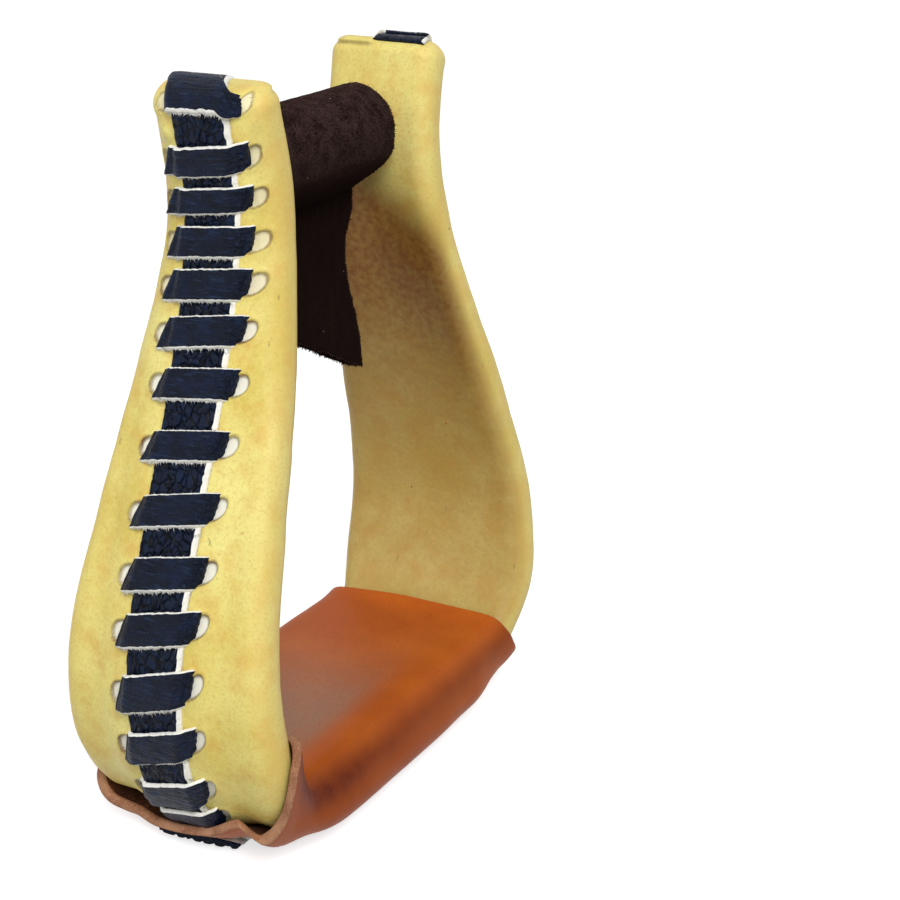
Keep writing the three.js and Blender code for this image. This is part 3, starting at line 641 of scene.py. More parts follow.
# Rawhide skin
hideSizes = {
    "crown": 2.0,               # the skin stands up over the lace's hidden run
    "crownReach": 19,
    "edgeMargin": 2,
    "crownFlatness": 6,
    "crownFade": 11,
    "corner": 5.1,
    "topRound": 4.5,            # round of the fold over a leg's top, seen along Y
    "topCorner": 5.0,           # and seen from the side of the leg's face
    "topSteps": 16,
    "fineStep": 0.5,
    "fineRun": (7.5, 17.2),
    "fineAcross": 0.4,
    "midStep": 1.5,
    "sideColumns": 24,
    "barStep": 5,
    "fineBelowMouth": 6,
    "slotRim": 0.22,
    "slotShadeLine": 1.4,            # strength of the painted shade line round a slot
    "pucker": 0.55,
    "puckerRun": 9.6,
    "puckerWidth": 2.4,
    "puckerRungs": 7,
    "puckerShares": (1.3, 0.12, 1),  # share at the top, and the least and the most that it can be
    "waves": ((34, 0.42), (13, 0.16), (5, 0.05)),
    "waveGain": 1.6,
    "waveLimits": (-0.25, 0.35),
    "lumps": ((-11.5, 9.0, 0.9, 2.6), (13.0, 3.5, 0.9, 2.4), (10.5, 8.5, 0.9, 2.4), (-13.2, 5.5, 0.5, 2.0)),
    "lip": 1.1,                 # the skin's end, turned over the top and lying on the inner face
    "lipPlace": 0.5,
    "lipSide": (1.5, 2.5),
    "lipShadeLine": (0.7, 0.5),      # strength and width of the painted shade line along the fold
    "edgeTone": 0.6,            # amber on the sides of the band
    "edgeGain": 1.1,
    "innerTone": (0.1, 0.4),    # on the inner face, at the top and added lower down
    "innerFade": (60, 70),
    "faceTone": 0.4,            # and along both edges of a face
    "faceFade": (-5, 4.5),
    "stainAndShadowStart": 24,           # brown on the inner face, most behind the hanging suede: partly stain, partly painted shadow of the suede and the near leg
    "stainAndShadowRise": 20,
    "stainAndShadowSlant": 0.8,
    "stainAndShadowFade": (56, 75),
    "stainAndShadowRest": 0.5,
}
topCentreOut = hideFace - hideSizes["topRound"]
foldPlace = hideSizes["topRound"] - bowSizes["clearance"] - bowSizes["hideThickness"]
foldRun = math.pi / 2 * (hideFace + hideSizes["crown"] - topCentreOut + hideSizes["topRound"]) / 2
innerFoldRun = math.pi / 2 * (hideSizes["topRound"] + 0.8)


def crownAt(across, crown, reach):
    share = np.minimum(np.abs(across) / reach, 1)
    return crown * (1 - share ** hideSizes["crownFlatness"]) ** 2


def hideCrownAt(place):
    return hideSizes["crown"] * (1 - smoothStep(place, mouthPlace, hideSizes["crownFade"]))


def slotsOf(index):
    # a turn's level and half height, and for its two slots the side, the middle and the half length
    sizes = lacingSizes
    if index == 0:
        level, nearMiddle, farMiddle, long, tall = sizes["topSlot"]
        return level, tall, [(-1, nearMiddle, long), (1, farMiddle, long)]
    lower = min(max((index - sizes["lowerFrom"]) / sizes["lowerRun"], 0), 1)
    near = (-1, sizes["slotMiddle"] - sizes["lowerShift"] * lower,
            sizes["slotHalfLength"] - sizes["lowerShort"] * lower)
    far = (1, sizes["farSlotMiddle"] + upperReach(index), sizes["farSlotHalfLength"])
    return rungs[index], sizes["slotHalfHeight"], [near, far]


def slotShare(run, place):
    # 1 on the floor of a lace slot and 0 outside it, how white the floor is, its rim, and a painted shade
    # outline
    sizes = lacingSizes
    floor, white, rim, line = (np.zeros(np.broadcast(run, place).shape) for _ in range(4))
    for index in range(len(rungs)):
        clean = 0.5 + 0.5 * smoothStep(index, *sizes["paleSlots"])
        level, tall, slots = slotsOf(index)
        for side, middle, long in slots:
            near = middle - long
            far = min(middle + long, depthAt(level) - sizes["slotEdgeMargin"])
            slant = sizes["slotSlant"] * (side < 0)
            alongRun = (run * side - (far + near) / 2) / ((far - near) / 2)
            upDown = (place - level - slopes[index] * run - slant * (run + middle)) / tall
            reach = roundedReach(alongRun, upDown, sizes["slotRound"])
            inside = smoothStep(-reach, *sizes["wall"])
            floor = np.maximum(floor, inside)
            white = np.maximum(white, inside * clean)
            rim = np.maximum(rim, bell(reach, *sizes["rim"]))
            line = np.maximum(line, bell(reach, *sizes["line"]))
    return floor, white, rim * (1 - floor), line


def hideColumns():
    near, far = hideSizes["fineRun"]
    middle = np.linspace(0, near, round(near / hideSizes["midStep"]), endpoint=False)
    fine = np.linspace(near, far, round((far - near) / hideSizes["fineAcross"]))
    return np.concatenate([middle, fine])


def makeHide():
    sizes = hideSizes
    # rows: round the fold over the top, down the leg, and along the bar to its middle
    turn = np.linspace(math.pi / 2, 0, sizes["topSteps"], endpoint=False)
    legEnd = mouthPlace + sizes["fineBelowMouth"]
    leg = np.linspace(foldPlace, legEnd, round((legEnd - foldPlace) / sizes["fineStep"]))
    barRows = round((railLength / 2 - legEnd) / sizes["barStep"])
    bar = np.linspace(legEnd, railLength / 2, barRows, endpoint=False)[1:]
    place = np.concatenate([foldPlace - sizes["topRound"] * np.sin(turn), leg, bar])[:, None]
    plain = np.ones(len(leg) + len(bar))
    face = np.concatenate([topCentreOut + sizes["topRound"] * np.cos(turn), hideFace * plain])[:, None]
    crownShare = np.concatenate([np.cos(turn), plain])[:, None]
    topCorner = sizes["topCorner"]
    fromTop = np.clip(topCorner - (place - foldPlace + sizes["topRound"]), 0, None)
    half = depthAt(place) - topCorner + np.sqrt(topCorner ** 2 - fromTop ** 2)
    corner = np.minimum(sizes["corner"], face - 0.02)
    # columns: fixed distances near the seam, shares of the rest round the side and the inner face
    near = hideColumns()
    rest = np.linspace(0, 1, sizes["sideColumns"] + 1)[None, 1:]
    halfRun = bandHalfRun(half, face, corner)
    positive = np.concatenate([np.broadcast_to(near, (len(place), len(near))),
                               near[-1] + (halfRun - near[-1]) * rest], axis=1)
    run = np.concatenate([-positive[:, -2:0:-1], positive], axis=1)
    across, outward, normalAcross, normalOut = bandAt(run, half, face, corner)
    reach = np.minimum(sizes["crownReach"], half - sizes["edgeMargin"])
    outward = outward + crownAt(across, hideCrownAt(place) * crownShare, reach) * (outward > 0)
    floor, white, rim, line = slotShare(run, place)
    white, line = (values * (outward > 0) for values in (white, line))
    least = np.maximum(outward - lacingSizes["leastFloor"], lacingSizes["leastDepth"])
    topShare = lacingSizes["topSlotDepth"]
    depth = np.minimum(lacingSizes["slotDepth"], least)
    depth = depth * (topShare + (1 - topShare) * smoothStep(place, *lacingSizes["topSlotFade"]))
    # the skin puffs up between two slots, most near the neck where it is drawn tightest
    between = np.interp(place, rungs, np.arange(len(rungs)))
    puff = np.sin(math.pi * between) ** 2 * (place > rungs[0]) * (place < rungs[-1])
    most, *limits = sizes["puckerShares"]
    puff = puff * sizes["pucker"] * np.clip(most - between / sizes["puckerRungs"], *limits)
    puff = puff * bell(np.abs(run), sizes["puckerRun"], sizes["puckerWidth"])
    # lumps at the top, each with its run, place, height and size
    lumps = sum(tall * np.exp(-((run - side) ** 2 + (place - down) ** 2) / size ** 2)
                for side, down, tall, size in sizes["lumps"])
    inner = (outward < 0) * smoothStep(-normalOut)
    lipSide = inner * smoothStep(-across, *sizes["lipSide"])
    lip = sizes["lip"] * lipSide * smoothStep(-place, -sizes["lipPlace"])
    # a painted shade line along the fold where the skin's end turns over the top
    strength, width = sizes["lipShadeLine"]
    line = np.maximum(line, strength * lipSide * bell(place, sizes["lipPlace"], width))
    lift = puff * (1 - floor) + rim * sizes["slotRim"] - floor * depth + lumps * (1 - floor) + lip
    # tones
    atTop, lower = sizes["innerTone"]
    edgeTone = np.clip(np.abs(normalAcross) * sizes["edgeGain"], 0, 1) * sizes["edgeTone"]
    edgeTone = edgeTone + inner * (atTop + lower * smoothStep(place, *sizes["innerFade"]))
    faceTone = sizes["faceTone"] * smoothStep(np.abs(across) - half, *sizes["faceFade"])
    edgeTone = np.maximum(edgeTone, faceTone)
    # brown on the inner face below the suede: partly stain, partly painted shadow of the suede and the near
    # leg
    stainAndShadow = 1 - (1 - sizes["stainAndShadowRest"]) * smoothStep(place, *sizes["stainAndShadowFade"])
    below = smoothStep(place - sizes["stainAndShadowStart"], sizes["stainAndShadowSlant"] * across, sizes["stainAndShadowRise"])
    stainAndShadow = inner * stainAndShadow * below
    points = railPoint(place, across + normalAcross * lift, outward + normalOut * lift)
    normals = railPoint(place, across + normalAcross, outward + normalOut) - railPoint(place, across, outward)
    points, normals, white, line, edgeTone, stainAndShadow, floor = [
        np.concatenate(bothLegs(values)) for values in (points, normals, white, line, edgeTone, stainAndShadow, floor)]
    waves = np.clip(waveOn(points, sizes["waves"], 3) * sizes["waveGain"], *sizes["waveLimits"])
    # the slotRim mark carries the painted shade lines round the slots and along the fold over the top
    return addSkin("rawhide_skin", points + normals * waves[..., None], [rawhideLeather], marks={
        "slotFloor": white, "slotRim": np.clip(line * sizes["slotShadeLine"], 0, 1),
        "edgeTone": edgeTone * (1 - floor), "stainAndShadow": stainAndShadow})


def bothLegs(values):
    # the right half is the left one turned half round, so its rows and columns run the other way
    turned = values[::-1]
    turned = np.concatenate([turned[:, -2::-1], turned[:, -1:]], axis=1)
    return values, otherLeg(turned) if values.ndim == 3 else turned


hide = makeHide()
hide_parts("rawhide_cover")
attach(hide, "stirrup")
print("rawhide done")

# Straps: a flat ribbon with skived edges, pillowed and cracked between the lace's turns
strapSizes = {
    "width": 15.6,
    "thickness": 1.4,
    "shift": -0.6,
    "topShift": 5.5,            # strap and first turn lie aside where they go over the leg's top
    "topShiftFade": (-3, 14),
    "nearBevel": 0.7,           # the cut edge shows more on the camera's side
    "farBevel": 0.4,
    "farCorners": (0.05, 0.2),  # how far the cut edges and the underside reach past the width
    "nearCorners": (0.3, 0.1),
    "skive": 0.6,
    "gap": 0.1,
    "lap": -4.6,                # how far it reaches down the inner face
    "step": 0.42,
    "columns": 34,
    "pillow": 0.4,
    "press": 0.25,
    "pressFade": (3.6, 2.2),
    "crack": 0.55,
    "crackAcross": 2.5,
    "crackAlong": 4.2,
    "crackWidth": 0.34,
    "crackLevel": 0.7,
    "crackWander": (1.3, 0.7),  # size and reach, in cells
    "crackUnderLace": 0.3,
    "edgeWave": 0.22,
    "edgeWaveMm": 6,
    "edgeShare": 0.85,
    "flatOnTop": (-1, 4),       # above this place it lies flat
    "tuck": 3.3,
    "treadInset": 0.2,
    "treadWidth": 22,
    "treadSlant": 0.12,
    "treadSlantFade": 7,
    "treadStandOff": 2.8,
    "treadRows": 260,
}


def foldedPoint(place, across, outward):
    # as railPoint, but above the fold the surface turns over the leg's top and down the inner face
    place, across, outward = np.broadcast_arrays(place, across, outward)
    across = across + strapSizes["topShift"] * smoothStep(-place, *strapSizes["topShiftFade"])
    squeeze = hideSizes["topRound"] / (hideFace + hideSizes["crown"] - topCentreOut)
    past = np.clip(foldPlace - place, 0, None)
    turn = np.clip(past / foldRun, 0, 1) * math.pi / 2
    beyond = np.clip(past - foldRun, 0, None)
    flat = np.minimum(beyond, 2 * topCentreOut)
    turnDown = np.clip((beyond - flat) / innerFoldRun, 0, 1) * math.pi / 2
    down = np.clip(beyond - flat - innerFoldRun, 0, None)
    # near the leg's edges the top is rounded off, so what lies on it sinks with it
    corner = hideSizes["topCorner"]
    pastFlat = np.clip(np.abs(across) - bowSizes["topDepth"] / 2 + corner, 0, corner)
    sunk = corner - np.sqrt(corner ** 2 - pastFlat ** 2)
    radius = (outward - topCentreOut) * (1 + (squeeze - 1) * np.sin(turn)) - sunk * np.sin(turn)
    folded = place < foldPlace
    newPlace = np.where(folded, foldPlace - radius * np.sin(turn) * np.cos(turnDown) + down, place)
    newOut = topCentreOut + radius * np.cos(turn) - flat - radius * np.sin(turnDown)
    return railPoint(newPlace, across, np.where(folded, newOut, outward))


def strapGrid(place, seat, pressPlaces, seed, fold, width, slant=0):
    sizes = strapSizes
    half = width / 2
    top = np.linspace(-half + sizes["nearBevel"], half - sizes["farBevel"], sizes["columns"])
    farCorners, nearCorners = (np.array(sizes[corners]) for corners in ("farCorners", "nearCorners"))
    across = np.concatenate([top, half + farCorners, -half - nearCorners])
    rise = np.concatenate([np.full(len(top), sizes["thickness"]), [sizes["skive"], 0, 0, sizes["skive"]]])
    onTop = np.concatenate([np.ones(len(top)), np.zeros(4)])
    place, seat = place[:, None], seat[:, None]
    gaps = np.abs(place - np.asarray(pressPlaces)[None, :]).min(axis=1)
    pillow = smoothStep(gaps, *sizes["pressFade"])[:, None]
    # cracks run between the cells of a stretched pattern
    cells = stacked(across[None, :] / sizes["crackAcross"], place / sizes["crackAlong"], float(seed))
    wanderSize, wander = sizes["crackWander"]
    cells = cells + noiseOn(cells, wanderSize, seed)[..., None] * wander
    near = [noise.voronoi(Vector(point))[0] for point in cells.reshape(-1, 3).tolist()]
    ridge = np.array([far[1] - far[0] for far in near]).reshape(len(place), -1)
    crack = smoothStep(ridge, 0, sizes["crackWidth"]) - sizes["crackLevel"]
    crack = crack * sizes["crack"] * (sizes["crackUnderLace"] + (1 - sizes["crackUnderLace"]) * pillow)
    softEdge = 1 - np.abs(across / half) ** 4
    swell = pillow * sizes["pillow"] - (1 - pillow) * sizes["press"]
    flatOnTop = smoothStep(place, *sizes["flatOnTop"])
    lift = onTop * flatOnTop * (swell * softEdge + crack * np.clip(softEdge * 3, 0, 1))
    line = stacked(place / sizes["edgeWaveMm"], np.sign(across)[None, :] * 3, float(seed))
    wave = noiseOn(line, 1, seed + 1) * sizes["edgeWave"] * (np.abs(across) > half * sizes["edgeShare"])
    slanted = place - slant * across[None, :] * np.exp(-(place - place[0]) / sizes["treadSlantFade"])
    shape = foldedPoint if fold else railPoint
    return shape(slanted, across[None, :] + sizes["shift"] + wave * flatOnTop, seat + rise[None, :] + lift)


def addStrap(name, node, grid, seed):
    columns = strapSizes["columns"]
    kinds = np.concatenate([np.zeros(columns - 1), np.ones(5)])
    rows = np.arange(len(grid) - 1)
    fibres = np.concatenate([edgeFibres(grid, columns + 2, columns - 4, rows, "strapNear", seed),
                             edgeFibres(grid, columns, columns - 4, rows, "strapFar", seed + 1)])
    piece = addSkin(name, grid, [strapLeather, fleshEdge], np.tile(kinds, len(rows)), fibres=fibres)
    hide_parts(node)
    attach(piece, "stirrup")


def makeSeamStrap(name, node, seed, turned):
    sizes = strapSizes
    start = foldPlace - foldRun - 2 * topCentreOut - innerFoldRun - sizes["lap"]
    end = mouthPlace + sizes["tuck"]
    place = np.linspace(start, end, round((end - start) / sizes["step"]))
    grid = strapGrid(place, hideFace + hideCrownAt(place) + sizes["gap"], rungs, seed, True, sizes["width"])
    addStrap(name, node, otherLeg(grid) if turned else grid, seed)


makeSeamStrap("left_seam_strap", "seam_strap_left", 11, False)
makeSeamStrap("right_seam_strap", "seam_strap_right", 12, True)
print("seam straps done")

# Laces: one flat lace for each strap, wound over it and back under the skin
laceSizes = {
    "width": 8.2,
    "thickness": 1.15,
    "camber": 0.12,             # the face's middle stands up by this much
    "faceSteps": 15,
    "upperBevel": 0.22,         # white edge above and below the black face
    "lowerBevel": 0.5,
    # round the cut edges and the flesh side: edge or middle, how far past it, and rise in thicknesses
    "corners": ((1, -0.1, 0.2), (1, 0.2, -0.25), (1, 0.05, -0.5), (0, 0, -0.5), (-1, -0.05, -0.5),
                (-1, -0.12, -0.2), (-1, 0.02, 0.3)),
    "nearEnd": 10.6,            # across, where the lace folds into its slot on the camera's side
    "farEnd": 9.7,
    "nearJitter": (-0.3, 0.3),
    "farJitter": (-0.4, 0.5),
    "endMargin": 2.2,
    "nearShear": 1.3,           # the ends slant by this much over half the width
    "farShear": 1.5,
    "foldRadius": 0.8,
    "foldSteps": 5,
    "steps": 40,
    "overStraps": 10.35,
    "overMiddle": -0.5,         # it lies on the strap round here and comes down past its edges
    "overFade": (6.9, 3.2),
    "skinGap": 0.25,
    "hidden": 5.25,
    "hiddenWidth": 5.6,
    "hiddenShares": (0.25, 0.6),
    "edgeWave": 0.2,
    "edgeWaveMm": 1.1,
    "edgeShare": 0.42,
    "widthJitter": 0.35,
    "slopeJitter": 0.015,
    "wrinkle": 0.15,
    "wrinkleMm": 1.9,
    "buckle": 0.22,
    "buckleMm": (3.2, 2.1),
    "faceRise": 0.45,
    "fringeShare": 0.97,        # fibres stop short of the folds
    "topWidth": 9.6,            # the first turn is broader, laps over the leg's top and narrows
    "topNarrow": 0.45,
    "topNarrowFade": (6.2, 3.2),
    "topDrop": 3.3,
    "topShear": 0.15,
    "topDyed": (0.2, 0.75, 17),  # over the leg's top the upper edge was dyed too
    "topEnds": (11.0, 8.9),
    "treadLevels": (12.4, 8.6),  # under the tread: over the strap, and hidden in the cover
    "treadOnto": 11.3,
    "treadEnd": 12.6,
    "treadSlope": 0.12,
}


def laceProfile(over, onto, nearEnd, farEnd, hidden):
    # the lace's middle line over one turn as rows of across, outward, in sight, share along
    sizes = laceSizes
    radius = sizes["foldRadius"]

    def fold(end, side):
        # from under the skin out to the slot's end and back over it
        turns = np.linspace(0, math.pi / 2, sizes["foldSteps"])
        bend = [(side * (end - radius + radius * math.sin(turn)), radius * (1 - math.cos(turn)))
                for turn in turns]
        rows = [(side * end * share, hidden, 0, side) for share in sizes["hiddenShares"]]
        rows += [(across, hidden + rise, 0, side) for across, rise in bend]
        return rows + [(across, onto - rise, 1, side) for across, rise in bend[::-1]]

    middle = []
    for step in range(1, sizes["steps"]):
        share = step / sizes["steps"]
        across = (farEnd - radius) * (1 - share) - (nearEnd - radius) * share
        edge = smoothStep(abs(across - sizes["overMiddle"]), *sizes["overFade"])
        middle.append((across, over + (onto - over) * edge, 1, 1 - 2 * share))
    return np.array(fold(farEnd, 1) + middle + fold(nearEnd, -1)[::-1])


def laceSection():
    # the section from its upper edge down the black face, round the lower edge and back on the flesh side
    sizes = laceSizes
    half, thick = sizes["width"] / 2, sizes["thickness"]
    top = np.linspace(-half + sizes["upperBevel"], half - sizes["lowerBevel"], sizes["faceSteps"])
    camber = sizes["camber"] * (1 - (top / half) ** 2)
    edges, past, rises = np.array(sizes["corners"]).T
    kinds = np.concatenate([np.zeros(len(top) - 1), np.ones(len(edges) + 1)])
    return np.append(top, edges * half + past), np.append(thick / 2 + camber, thick * rises), kinds


def laceGrid(turns, levels, seed, shape, topTurn):
    # turns are rows of place, slope, width, height on the skin, near end and far end
    sizes = laceSizes
    over, hidden = levels
    side, rise, kinds = laceSection()
    lower = side[None, :]
    blocks, sights, blockKinds = [], [], []
    for index, (place, slope, width, onto, nearEnd, farEnd) in enumerate(turns):
        isTop = topTurn and index == 0
        across, outward, visible, along = laceProfile(over, onto, nearEnd, farEnd, hidden).T
        step = np.gradient(np.stack([across, outward], axis=1), axis=0)
        step = step / np.linalg.norm(step, axis=1)[:, None]
        normal = np.stack([step[:, 1], -step[:, 0]], axis=1)
        if normal[len(along) // 2, 1] < 0:
            normal = -normal
        seen = visible[:, None] > 0
        widened = np.where(visible > 0, width, sizes["hiddenWidth"]) / sizes["width"]
        narrow = smoothStep(np.abs(across), *sizes["topNarrowFade"]) * isTop * (visible > 0)
        offset = lower * (widened * (1 - sizes["topNarrow"] * narrow))[:, None]
        shear = np.where(along > 0, sizes["farShear"], sizes["nearShear"]) * np.abs(along) ** 3
        shear = shear[:, None] * lower / (sizes["width"] / 2) * seen * (sizes["topShear"] if isTop else 1)
        # wrinkles along the lace at its near end, and buckles all over the face
        nearSide = np.clip(-along, 0, 1)[:, None]
        folds = np.sin(lower / sizes["wrinkleMm"] * 2 * math.pi + seed + index)
        wrinkle = sizes["wrinkle"] * nearSide ** 3 * folds
        buckleAcross, buckleDown = sizes["buckleMm"]
        where = stacked(across[:, None] / buckleAcross, lower / buckleDown, index * 7.7 + seed)
        buckle = noiseOn(where, 1, seed) * sizes["buckle"]
        onFace = rise[None, :] > sizes["thickness"] * sizes["faceRise"]
        lift = rise[None, :] + (wrinkle + buckle) * onFace * seen
        fray = stacked(across[:, None] / sizes["edgeWaveMm"], np.sign(lower) * 9.0, index * 3.1)
        atEdge = np.abs(lower) > sizes["width"] * sizes["edgeShare"]
        edge = noiseOn(fray, 1, seed + 2) * sizes["edgeWave"] * atEdge * seen
        # under the skin it drifts towards the next turn and from the last one
        drift = np.zeros(len(along))
        if index + 1 < len(turns):
            ahead = turns[index + 1][0] - place
            drift += np.where((visible == 0) & (along < 0), ahead * 0.5 * (1 - np.abs(across) / nearEnd), 0)
        if index:
            behind = place - turns[index - 1][0]
            drift -= np.where((visible == 0) & (along > 0), behind * 0.5 * (1 - np.abs(across) / farEnd), 0)
        drift += sizes["topDrop"] * narrow
        newAcross = across[:, None] + shear + normal[:, :1] * lift
        newPlace = place + slope * newAcross + offset + edge + drift[:, None]
        blocks.append(shape(newPlace, newAcross, outward[:, None] + normal[:, 1:] * lift))
        sights.append((visible > 0) & (np.abs(along) < sizes["fringeShare"]))
        dyedAt, dyedReach, dyedFrom = sizes["topDyed"]
        dyed = isTop & (np.abs(along - dyedAt) < dyedReach)[:, None] & (np.arange(len(kinds)) > dyedFrom)
        blockKinds.append(np.where(dyed, 0, kinds[None, :]))
    sight = np.concatenate(sights)
    return np.concatenate(blocks), np.concatenate(blockKinds)[:-1], np.flatnonzero(sight[:-1] & sight[1:])


def addLace(name, node, grid, kinds, rows, seed):
    lowerEdge, upperEdge = laceSizes["faceSteps"] + 1, laceSizes["faceSteps"] + 6
    fibres = np.concatenate([edgeFibres(grid, lowerEdge, lowerEdge - 5, rows, "laceLower", seed),
                             edgeFibres(grid, upperEdge, 3, rows, "laceUpper", seed + 1)])
    piece = addSkin(name, grid, [laceLeather, fleshEdge], kinds, fibres=fibres)
    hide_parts(node)
    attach(piece, "stirrup")


def makeSeamLace(name, node, seed, turned):
    dice = random.Random(seed)
    sizes = laceSizes
    laceSlopes = [slope + dice.uniform(-1, 1) * sizes["slopeJitter"] for slope in slopes]
    widths = [sizes["width"] + dice.uniform(-1, 1) * sizes["widthJitter"] for _ in rungs]
    widths[0] = sizes["topWidth"]
    limits = [depthAt(place) - sizes["endMargin"] for place in rungs]
    nearEnds = [min(sizes["nearEnd"] + dice.uniform(*sizes["nearJitter"]), limit) for limit in limits]
    farEnds = [min(sizes["farEnd"] + upperReach(index) + dice.uniform(*sizes["farJitter"]), limit)
               for index, limit in enumerate(limits)]
    nearEnds[0], farEnds[0] = sizes["topEnds"]
    reaches = [min(hideSizes["crownReach"], depthAt(place) - hideSizes["edgeMargin"]) for place in rungs]
    ontos = [hideFace + crownAt(end, hideCrownAt(place), reach) + sizes["thickness"] / 2 + sizes["skinGap"]
             for end, place, reach in zip(nearEnds, rungs, reaches)]
    turns = list(zip(rungs, laceSlopes, widths, ontos, nearEnds, farEnds))
    grid, kinds, rows = laceGrid(turns, (sizes["overStraps"], sizes["hidden"]), seed, foldedPoint, True)
    addLace(name, node, otherLeg(grid) if turned else grid, kinds, rows, seed)


makeSeamLace("left_seam_lace", "seam_lace_left", 21, False)
makeSeamLace("right_seam_lace", "seam_lace_right", 22, True)
print("seam laces done")

# Tread cover: a thick leather sleeve round the bar, its mouths cut by hand and standing open
coverSizes = {
    "thickness": 2.4,
    "crown": 1.5,
    "corner": 5.4,
    "openFade": 13,
    "openPower": 1.5,
    "edgeRound": 0.5,
    "edgeBevel": 0.12,
    "waves": ((40, 0.5), (15, 0.18)),
    "waveLimits": (-0.2, 0.4),
    "aroundSteps": ((0, 0.3, 28), (0.3, 0.66, 26), (0.66, 1, 18)),  # from, to and how many
    "alongSteps": ((0, 0.14, 14), (0.14, 0.86, 74), (0.86, 1, 15)),
    "bulge": 2.9,               # the leather stands off the bar along its lower corners
    "bulgeShare": 0.41,
    "bulgeReach": 0.1,
    "bulgeFade": (6, 22),
    "crest": 0.3,
    "rungCount": 8,
    "slotInset": 7.5,
    "slotMiddle": 12.0,
    "slotHalfLength": 3.0,
    "slotHalfHeight": 2.8,
    "slotDepth": 1.7,
    "slotRound": 2.6,
    "slotWall": (-1.15, 0.35),
    "shadeLine": (0.55, 0.06, 0.5),   # middle, reach and strength of the painted shade along its front and back
    "shadeNear": (0.575, 0.075, 0.5),  # and of the same beside the near mouth
    "shadeNearFade": (6, 44),
    "shadeUnder": 0.26,
    "underFade": (0.48, 0.15),
    "wearAndSheenFade": (0.61, 0.08),    # a boot rubs the top, most round this place along X; the grey there is partly wear and partly painted sheen
    "wearAndSheenPlace": (-28, 34),
    "wearAndSheenFront": (-23, 10),
    "wearAndSheenShare": 0.92,
}
# Hand cut mouths. Places round the sleeve run from the middle of the underside, 0, to the middle of
# the top, 1, and are negative on the camera's side. For each: how far the edge runs up the leg
# and how far it stands off the rawhide.
nearMouth = (
    (-1.00, 2.0, 0.3), (-0.86, 6.0, 0.3), (-0.74, 16.0, 0.3), (-0.64, 25.5, 0.3), (-0.57, 27.0, 0.4),
    (-0.50, 22.0, 0.7), (-0.44, 13.0, 1.0), (-0.39, 7.5, 1.7), (-0.34, 4.6, 3.0), (-0.295, 6.0, 2.4),
    (-0.25, 8.0, 1.2), (-0.20, 6.6, 1.5), (-0.13, 4.4, 2.4), (-0.05, 3.2, 3.0), (0.05, 2.0, 3.6),
    (0.18, 0.8, 4.0), (0.28, 0.6, 3.8), (0.36, 1.2, 2.8), (0.44, 1.8, 1.4), (0.52, 1.2, 0.6),
    (0.62, 0.8, 0.4), (0.8, 1.5, 0.3), (1.00, 2.0, 0.3),
)
farMouth = (
    (-1.00, 0.9, 0.3), (-0.80, 1.4, 0.3), (-0.68, 0.2, 0.3), (-0.58, -1.6, 0.3), (-0.50, -1.0, 0.5),
    (-0.42, 0.2, 0.9), (-0.30, 1.2, 2.4), (-0.18, 0.6, 3.2), (-0.07, 3.4, 2.0), (0.00, 3.0, 2.4),
    (0.10, 0.8, 3.6), (0.25, 0.2, 3.6), (0.36, 1.2, 2.4), (0.45, 0.6, 1.2), (0.55, -2.5, 0.5),
    (0.66, -4.4, 0.3), (0.80, -2.4, 0.3), (1.00, 0.9, 0.3),
)


def mouthAt(table, share):
    # smooth through the listed places, round and back to the first
    shares, rises, opens = np.array(table).T
    fine = np.linspace(-1, 1, 721)
    kernel = np.exp(-(np.linspace(-2, 2, 21)) ** 2)
    kernel /= kernel.sum()
    found = []
    for values in (rises, opens):
        line = np.interp(fine, shares, values)
        wrapped = np.concatenate([line[-11:-1], line, line[1:11]])
        found.append(np.interp(share, fine, np.convolve(wrapped, kernel, "valid")))
    return found


def coverPoints(share, place, grow, opening):
    sizes = coverSizes
    half = depthAt(place) + bowSizes["clearance"] + grow
    face = hideFace + bowSizes["clearance"] + grow
    corner = sizes["corner"] + grow
    run = share * bandHalfRun(half, face, corner)
    across, outward, normalAcross, normalOut = bandAt(run, half, face, corner)
    crown = crownAt(across, sizes["crown"], hideSizes["crownReach"]) * (outward > 0)
    crest = sizes["crest"] * np.clip(1 - (across / half) ** 2, 0, 1) * (outward < 0)
    return railPoint(place, across + normalAcross * opening, outward + crown - crest + normalOut * opening)


def treadRungs():
    first = mouthPlace + coverSizes["slotInset"]
    return np.linspace(first, railLength - first, coverSizes["rungCount"])


def inSteps(table):
    # shares from 0 to 1, closer together in some stretches than in others
    return np.concatenate([np.linspace(start, end, count, endpoint=end == 1) for start, end, count in table])


